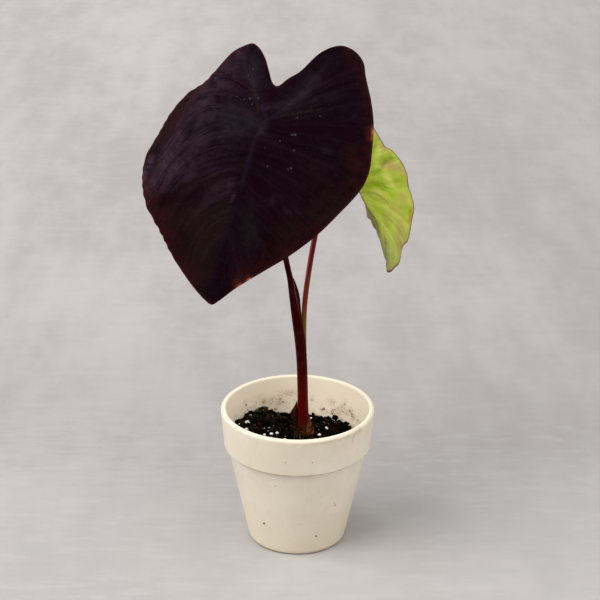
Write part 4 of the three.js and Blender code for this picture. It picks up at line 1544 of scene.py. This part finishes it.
def second_relief(uv, edge):
    """Pleats between the veins, waves and a rippled margin."""
    u, v = uv.T
    rib, rib_distance, vein, order = vein_fields(
        uv, SECOND_RIBS, SECOND_VEINS, (1.5, 0.6), (0.8, 0.45)
    )
    shelter = 0.3 + 0.7 * smooth(edge, 0, 5)
    pleat = 0.6 * np.cos(2 * math.pi * order) * smooth(rib_distance, 1, 9)
    wave = 0.8 * turbulence(uv, 16, 2, 6.0) + 0.35 * turbulence(uv, 5, 2, 1.0)
    ripple = 0.4 * np.sin((v + 0.6 * u) / 3.1) * (1 - smooth(edge, 0, 5))
    thick = 0.12 + 0.16 * smooth(edge, 0, 1.4)
    front = thick + 0.75 * rib + 0.32 * vein
    back = thick - 0.1 * vein
    ridge = np.interp(v, *SECOND_RIDGE)
    fields = {
        "rib": rib, "vein": vein, "order": order, "away": rib_distance,
        "pink": strokes(uv, SECOND_PINK), "fold_shade": strokes(uv, SECOND_FOLD_SHADE),
        "light": strokes(uv, SECOND_HIGHLIGHTS), "orange": strokes(uv, SECOND_ORANGE),
        "line": strokes(uv, SECOND_DARK), "left_half": smooth(ridge - u, -2.0, 2.0),
        "near_tip": smooth(v, 48, 64), "tip": smooth(v, 56, 74),
        "torn": smooth(v, 79, 83) * (1 - smooth(edge, 0.3, 2.2)),
    }
    return (pleat + wave) * shelter + ripple, front, back, fields


def second_material(name, dullness):
    paint = BladePaint(
        name, 9, 0.2, Specular_IOR_Level=0.09, Subsurface_Weight=0.1, Subsurface_Scale=0.002
    )
    streak = paint.noise(2.0, 4, 0.6, paint.flow)
    cloud = paint.noise(9, 5, 0.65, paint.plane)
    grain = paint.noise(1.6, 4, 0.6, paint.plane)
    net = paint.cells(2.2, "DISTANCE_TO_EDGE", paint.plane)
    paint.base(paint.remap(streak, 0.34, 0.66), (154, 184, 36), (190, 203, 80))
    paint.wash(cloud, 0.42, 0.6, 0.6, (192, 188, 84))
    paint.wash(grain, 0.35, 0.22, 0.5, (140, 166, 40))
    # painted shade: deeper green in the folds
    paint.coat(paint.times("fold_shade", paint.remap(grain, 0.3, 0.55, 0.6, 1)), (128, 154, 0))
    # painted highlights on the ridges
    paint.coat(paint.times("light", paint.remap(grain, 0.3, 0.6, 0.5, 1), 0.6), (206, 216, 110))
    paint.coat(paint.times("pink", paint.remap(grain, 0.3, 0.6, 0.45, 1), 0.85), (186, 144, 108))
    purple = paint.blend(paint.remap(grain, 0.4, 0.65), (150, 122, 108), (186, 174, 124))
    dull = paint.blend(paint.remap(cloud, 0.4, 0.6), (164, 168, 112), (190, 196, 128))
    paint.coat(paint.times("tip", 0.5), (152, 154, 98))
    paint.coat(paint.times("left_half", 0.9), paint.blend("near_tip", purple, dull))
    paint.wash(net, 0.1, 0.0, 0.14, (130, 156, 44))
    paint.coat(paint.times("vein", 0.4), (140, 162, 50))
    paint.coat(paint.times("rib", 0.5), (206, 208, 128))
    margin = paint.times(paint.remap("edge", 0.5, 5.0, 0.6, 0), paint.remap(cloud, 0.35, 0.6))
    paint.coat(margin, (166, 126, 96))
    paint.wash("edge", 1.35, 0.35, 0.9, (90, 62, 58))
    paint.coat(paint.times("line", 0.9), (66, 70, 28))
    paint.coat(paint.times("orange", 0.65), (168, 112, 40))
    paint.coat("torn", (112, 84, 48))
    paint.coat(dullness, (96, 92, 44))
    height = paint.plus(paint.remap(net, 0.0, 0.2), grain)
    normal = paint.bump(height, 0.14, 0.5, paint.bump(streak, 0.35, 0.4))
    return paint.finish(paint.remap(cloud, 0.3, 0.7, 0.42, 0.58), normal)


def make_second_blade():
    points, faces, fields, which = blade_mesh(
        SECOND, second_relief, spokes=300, front_rings=64, back_rings=40, crinkle=0.3
    )
    skins = [second_material("leaf_pale_upper", 0.45), second_material("leaf_pale_under", 0.0)]
    add_piece("leaf_second", points, faces, skins, ["leaf_second"], fields, which)


make_second_blade()

# ---- petioles ---------------------------------------------------------------------------

# middles and half sizes of the petioles as [x, y, z, wide, deep]
MAIN_STATIONS = [
    [4, 5, STEM_FOOT, 6.6, 6.2], [4, 5, 88, 5.6, 5.4], [4, 4.8, 96, 4.4, 4.5],
    [3.9, 4.6, 106, 4, 4.2], [3.6, 4.2, 121, 3.9, 4.2], [2.9, 3.6, 141, 3.9, 4.1],
    [1.5, 3, 159, 4, 4], [-0.8, 2.5, 175, 3.7, 3.6], [-2.3, 2.2, 187, 3.6, 2.9],
    [-4.1, 2, 198, 3, 2.4], [-6.2, 2, 209, 2.2, 2.2], [-9.2, 2.2, 223, 2.1, 2.1],
    [-12.7, 3, 242, 2.1, 2.1], [-16.6, 4.6, 269, 2.1, 2.1], [-19.3, 6.4, 300, 2.2, 2.1],
    [-20.4, 5.4, 317, 2.3, 2.2], [*MAIN.off(-7), 2.5, 2.4], [*MAIN.off(-1.3), 2.7, 2.7],
]
SECOND_STATIONS = [
    [5.4, 6.6, STEM_FOOT, 1.7, 1.7], [5.4, 7.4, 105, 1.8, 1.8], [5.1, 7.6, 125, 1.9, 1.9],
    [4.4, 7.6, 145, 1.9, 1.9], [4.1, 8, 165, 1.9, 1.9], [4.6, 9, 184, 1.9, 1.9],
    [7.2, 11, 208, 1.9, 1.9], [11.5, 14, 235, 1.9, 1.9], [15.9, 15.8, 256, 1.8, 1.8],
    [20.8, 16.2, 274, 1.8, 1.8], [25.6, 16, 284.5, 1.8, 1.8], [29.4, 17, 290, 1.8, 1.8],
    [*SECOND.off(1.5), 2, 2],
]


def swept(stations, outline, steps, sides):
    """A stalk through stations [x, y, z, wide, deep], each ring shaped by outline.

    outline(angles, wide, deep, centre, width, depth) gives the reach of a ring and its painted
    highlight.
    """
    path = even(spline(stations, 10), steps)
    centre, wide, deep = path[:, :3], path[:, 3], path[:, 4]
    tangent = unit(np.gradient(centre, axis=0))
    depth = unit(np.cross(tangent, [1.0, 0, 0]))
    width = np.cross(depth, tangent)
    angles = circle(sides)
    rings, marks = [], []
    for k in range(steps):
        reach, painted_highlight = outline(angles, wide[k], deep[k], centre[k], width[k], depth[k])
        x, y = np.cos(angles) * reach, np.sin(angles) * reach
        rings.append(centre[k] + x[:, None] * width[k] + y[:, None] * depth[k])
        marks.append(painted_highlight)
    points, faces = closed_rings(rings, centre[0], centre[-1])
    return points, faces, {"painted_highlight": np.concatenate([[0], *marks, [0]])}


SECOND_LINE = even(spline(SECOND_STATIONS, 10), 200)
# how far the free edge of the sheath wing reaches from the stalk's middle at each height
WING_HEIGHTS = [172, 184, 191, 198, 203, 207, 209.5]
WING_REACH = [3.9, 4.6, 4.8, 4.3, 3.6, 2.9, 1.8]
# heights between which the wing comes in, the wing goes out and the seam fades
WING_START = (172, 200)
WING_END = (212, 222)
SEAM_END = (150, 175)
# the second petiole leaves the groove of the first above this height
GROOVE_TOP = 192


def main_outline(angles, wide, deep, centre, width, depth):
    """An oval with a groove for the second petiole and, higher up, a thin sheath wing with a
    painted highlight line where it meets the stalk.
    """
    z = centre[2]
    ribs = 1 + 0.012 * np.cos(9 * angles + z * 0.02) + 0.008 * np.cos(17 * angles)
    reach = oval(angles, wide, deep) * ribs
    painted_highlight = np.zeros(len(angles))
    if WING_START[0] <= z < WING_END[1]:
        shift = min(1.6, max(0.0, wide - 2.25))
        toward = -shift * np.cos(angles)
        under_root = toward ** 2 - shift ** 2 + (wide - shift) ** 2
        body = toward + np.sqrt(np.maximum(under_root, 0.04))
        lean = angles + math.radians(14)
        span = np.interp(z, WING_HEIGHTS, WING_REACH)
        wing = np.minimum(span, 0.58 / np.maximum(np.abs(np.sin(lean)), 0.02))
        wing = np.where(np.cos(lean) > 0, wing, 0)
        share = smooth(z, *WING_START) * (1 - smooth(z, *WING_END))
        reach = mix(reach, np.maximum(body, wing), share)
        painted_highlight = 0.8 * np.exp(-(half_turn(lean + math.radians(18)) / 0.075) ** 2) * share
    seam = np.exp(-((angles - math.radians(322)) / 0.16) ** 2)
    reach = reach * (1 - 0.05 * seam * (1 - smooth(z, *SEAM_END)))
    if z < GROOVE_TOP:
        near = SECOND_LINE[np.argmin(np.abs(SECOND_LINE[:, 2] - z))]
        offset = near[:3] - centre
        sx, sy = offset @ width, offset @ depth
        along = sx * np.cos(angles) + sy * np.sin(angles)
        miss = along ** 2 - (sx ** 2 + sy ** 2 - (near[3] + GAP) ** 2)
        hit = along - np.sqrt(np.maximum(miss, 0))
        reach = np.where((miss > 0) & (hit > 0) & (hit < reach), hit, reach)
    return reach, painted_highlight


def second_outline(angles, wide, deep, centre, width, depth):
    """A grooved oval, with a painted highlight streak on its left front near the top."""
    reach = oval(angles, wide, deep) * (1 + 0.02 * np.cos(7 * angles)) * 1.04
    lit = half_turn(angles + math.radians(148))
    return reach, np.exp(-(lit / 0.5) ** 2) * smooth(centre[2], 194, 212)


def petiole_material(name, tones, levels, gloss, streak):
    """A glossy stalk whose colour changes at four heights through three tones."""
    paint = Paint(name, Specular_IOR_Level=gloss, Specular_Tint=(1.0, 0.6, 0.62, 1.0))
    height = paint.axis("Z")
    first, second, third, fourth = (level * MM for level in levels)
    fibre = paint.noise(1, 4, 0.6, paint.stretched((900, 900, 22)))
    blotch = paint.noise(7, 4, 0.6)
    paint.base(paint.remap(height, first, second), tones[0], tones[1])
    paint.wash(height, third, fourth, 1, tones[2])
    paint.wash(fibre, 0.45, 0.75, 0.45, (26, 8, 10))
    paint.wash(blotch, 0.5, 0.75, 0.3, (96, 40, 34))
    # painted highlight along the lit line of the stalk
    paint.coat(paint.times("painted_highlight", 0.6), streak)
    earthy = paint.times(paint.remap(height, 0.085, 0.1, 1, 0), paint.remap(blotch, 0.28, 0.56))
    paint.coat(earthy, (58, 28, 12))
    return paint.finish(paint.remap(fibre, 0.3, 0.7, 0.3, 0.44), paint.bump(fibre, 0.25, 0.45))


def make_petioles():
    dark = petiole_material(
        "petiole_dark", tones=[(86, 6, 7), (50, 1, 3), (44, 2, 3)],
        levels=(108, 150, 180, 240), gloss=0.03, streak=(150, 112, 116),
    )
    points, faces, fields = swept(MAIN_STATIONS, main_outline, steps=190, sides=108)
    add_piece("petiole_main", points, faces, [dark], ["petiole_main"], fields)
    red = petiole_material(
        "petiole_red", tones=[(112, 90, 32), (126, 50, 26), (112, 10, 27)],
        levels=(168, 188, 196, 218), gloss=0.12, streak=(214, 132, 132),
    )
    points, faces, fields = swept(SECOND_STATIONS, second_outline, steps=170, sides=36)
    add_piece("petiole_second", points, faces, [red], ["petiole_second"], fields)


make_petioles()

# ---- old sheaths ------------------------------------------------------------------------


def sheath_material(name, dark, light, shaded):
    """Papery dead leaf base, with painted shade below the height given in metres."""
    paint = Paint(name, Specular_IOR_Level=0.04)
    fibre = paint.noise(1, 5, 0.65, paint.stretched((1300, 1300, 90)))
    cracks = paint.cells(1, "DISTANCE_TO_EDGE", paint.stretched((620, 620, 170)))
    chaff = paint.noise(1, 3, 0.6, paint.stretched((1500, 1500, 420)))
    paint.base(paint.remap(fibre, 0.36, 0.66), dark, light)
    paint.wash(paint.noise(1.7, 4, 0.7), 0.44, 0.56, 0.85, (30, 10, 3))
    paint.wash(cracks, 0.12, 0.0, 0.6, (22, 8, 3))
    paint.wash(paint.axis("Z"), shaded, shaded - 0.004, 0.8, (24, 9, 5))
    paint.wash(chaff, 0.6, 0.72, 0.55, (160, 124, 88))
    paint.coat("shade", (24, 9, 4))
    return paint.finish(0.8, paint.bump(fibre, 0.5, 0.8))


SHEATH_COLUMNS = 44
SHEATH_ROWS = 40


def make_sheath(name, material, profile, middle, spans, heights, ragged, seed):
    """A dry leaf base against the stem: thick at its foot, with a torn top and long ridges.

    middle and spans are in degrees round the stem, and spans and heights go from foot to top.
    """
    own = np.random.default_rng(seed)
    teeth = own.uniform(0, 1, SHEATH_COLUMNS + 1)
    teeth = np.convolve(teeth, [0.25, 0.5, 0.25], "same")
    across = np.linspace(-0.5, 0.5, SHEATH_COLUMNS + 1)
    rings = []
    for t in np.arange(SHEATH_ROWS + 1) / SHEATH_ROWS:
        angle = math.radians(middle) + math.radians(mix(*spans, t ** 0.8)) * across
        z = mix(*heights, t) - ragged * teeth * t ** 3
        ridge = 0.22 * np.sin(across * 58 + 3 * t) + 0.16 * np.sin(across * 23 + t * 5)
        outer = np.interp(t, *profile) + ridge * (1 - 0.5 * t)
        outer = outer - 1.6 * (2 * across) ** 2 * (1 - t)
        inner = 4.5 + 1.9 * np.clip((96 - z) / 12, 0, 1) ** 1.5
        front = polar(np.maximum(outer, inner + 0.35), angle, z, STEM)
        rings.append(np.vstack([front, polar(inner, angle, z, STEM)[::-1]]))
    points, faces = closed_rings(rings, rings[0].mean(0), rings[-1].mean(0))
    add_piece(name, points, faces, [material], [name])


STRAND_COUNT = 150
STRAND_SEED = 31


def make_strands(material):
    """Loose fibres of rotted sheath round the foot of the stem."""
    heap = Heap()
    own = np.random.default_rng(STRAND_SEED)
    t = np.linspace(0, 1, 7)
    for k in range(STRAND_COUNT):
        a = math.radians(own.uniform(-86, 30) if k % 2 else own.uniform(150, 268))
        foot, rise = own.uniform(5.8, 9.4), own.uniform(1.5, 8)
        path = polar(mix(foot, 5.2, t ** 0.6), a + own.uniform(-0.25, 0.25) * t, 0, STEM)
        path[:, 2] = soil_height(*path[0, :2]) - 0.8 + rise * t ** 1.4
        strand = thread(path, own.uniform(0.16, 0.38))
        heap.add(*strand, own.uniform(0, 0.7) if k % 2 else own.uniform(0.35, 1))
    heap.finish("sheath_strands", [material], "dry_sheath")


def make_sheaths():
    """Two old leaf bases and the loose strands round them."""
    brown = sheath_material("dry_sheath_brown", (26, 9, 5), (88, 40, 18), 0.1)
    amber = sheath_material("dry_sheath_amber", (62, 20, 5), (164, 102, 50), 0.0845)
    # the reach from the stem at shares of the height
    hook = ([0, 0.3, 0.52, 0.64, 0.75, 0.87, 1], [7.6, 7.8, 8.9, 9.0, 7.3, 5.9, 4.9])
    flare = ([0, 0.25, 0.5, 0.75, 1], [9.4, 8.2, 6.8, 5.9, 5.2])
    make_sheath(
        "old_sheath_left", brown, hook, middle=188, spans=(96, 18), heights=(83.6, 108.3),
        ragged=1.4, seed=3,
    )
    make_sheath(
        "old_sheath_right", amber, flare, middle=-28, spans=(84, 36), heights=(83.0, 97.6),
        ragged=4.5, seed=4,
    )
    make_strands(amber)


make_sheaths()
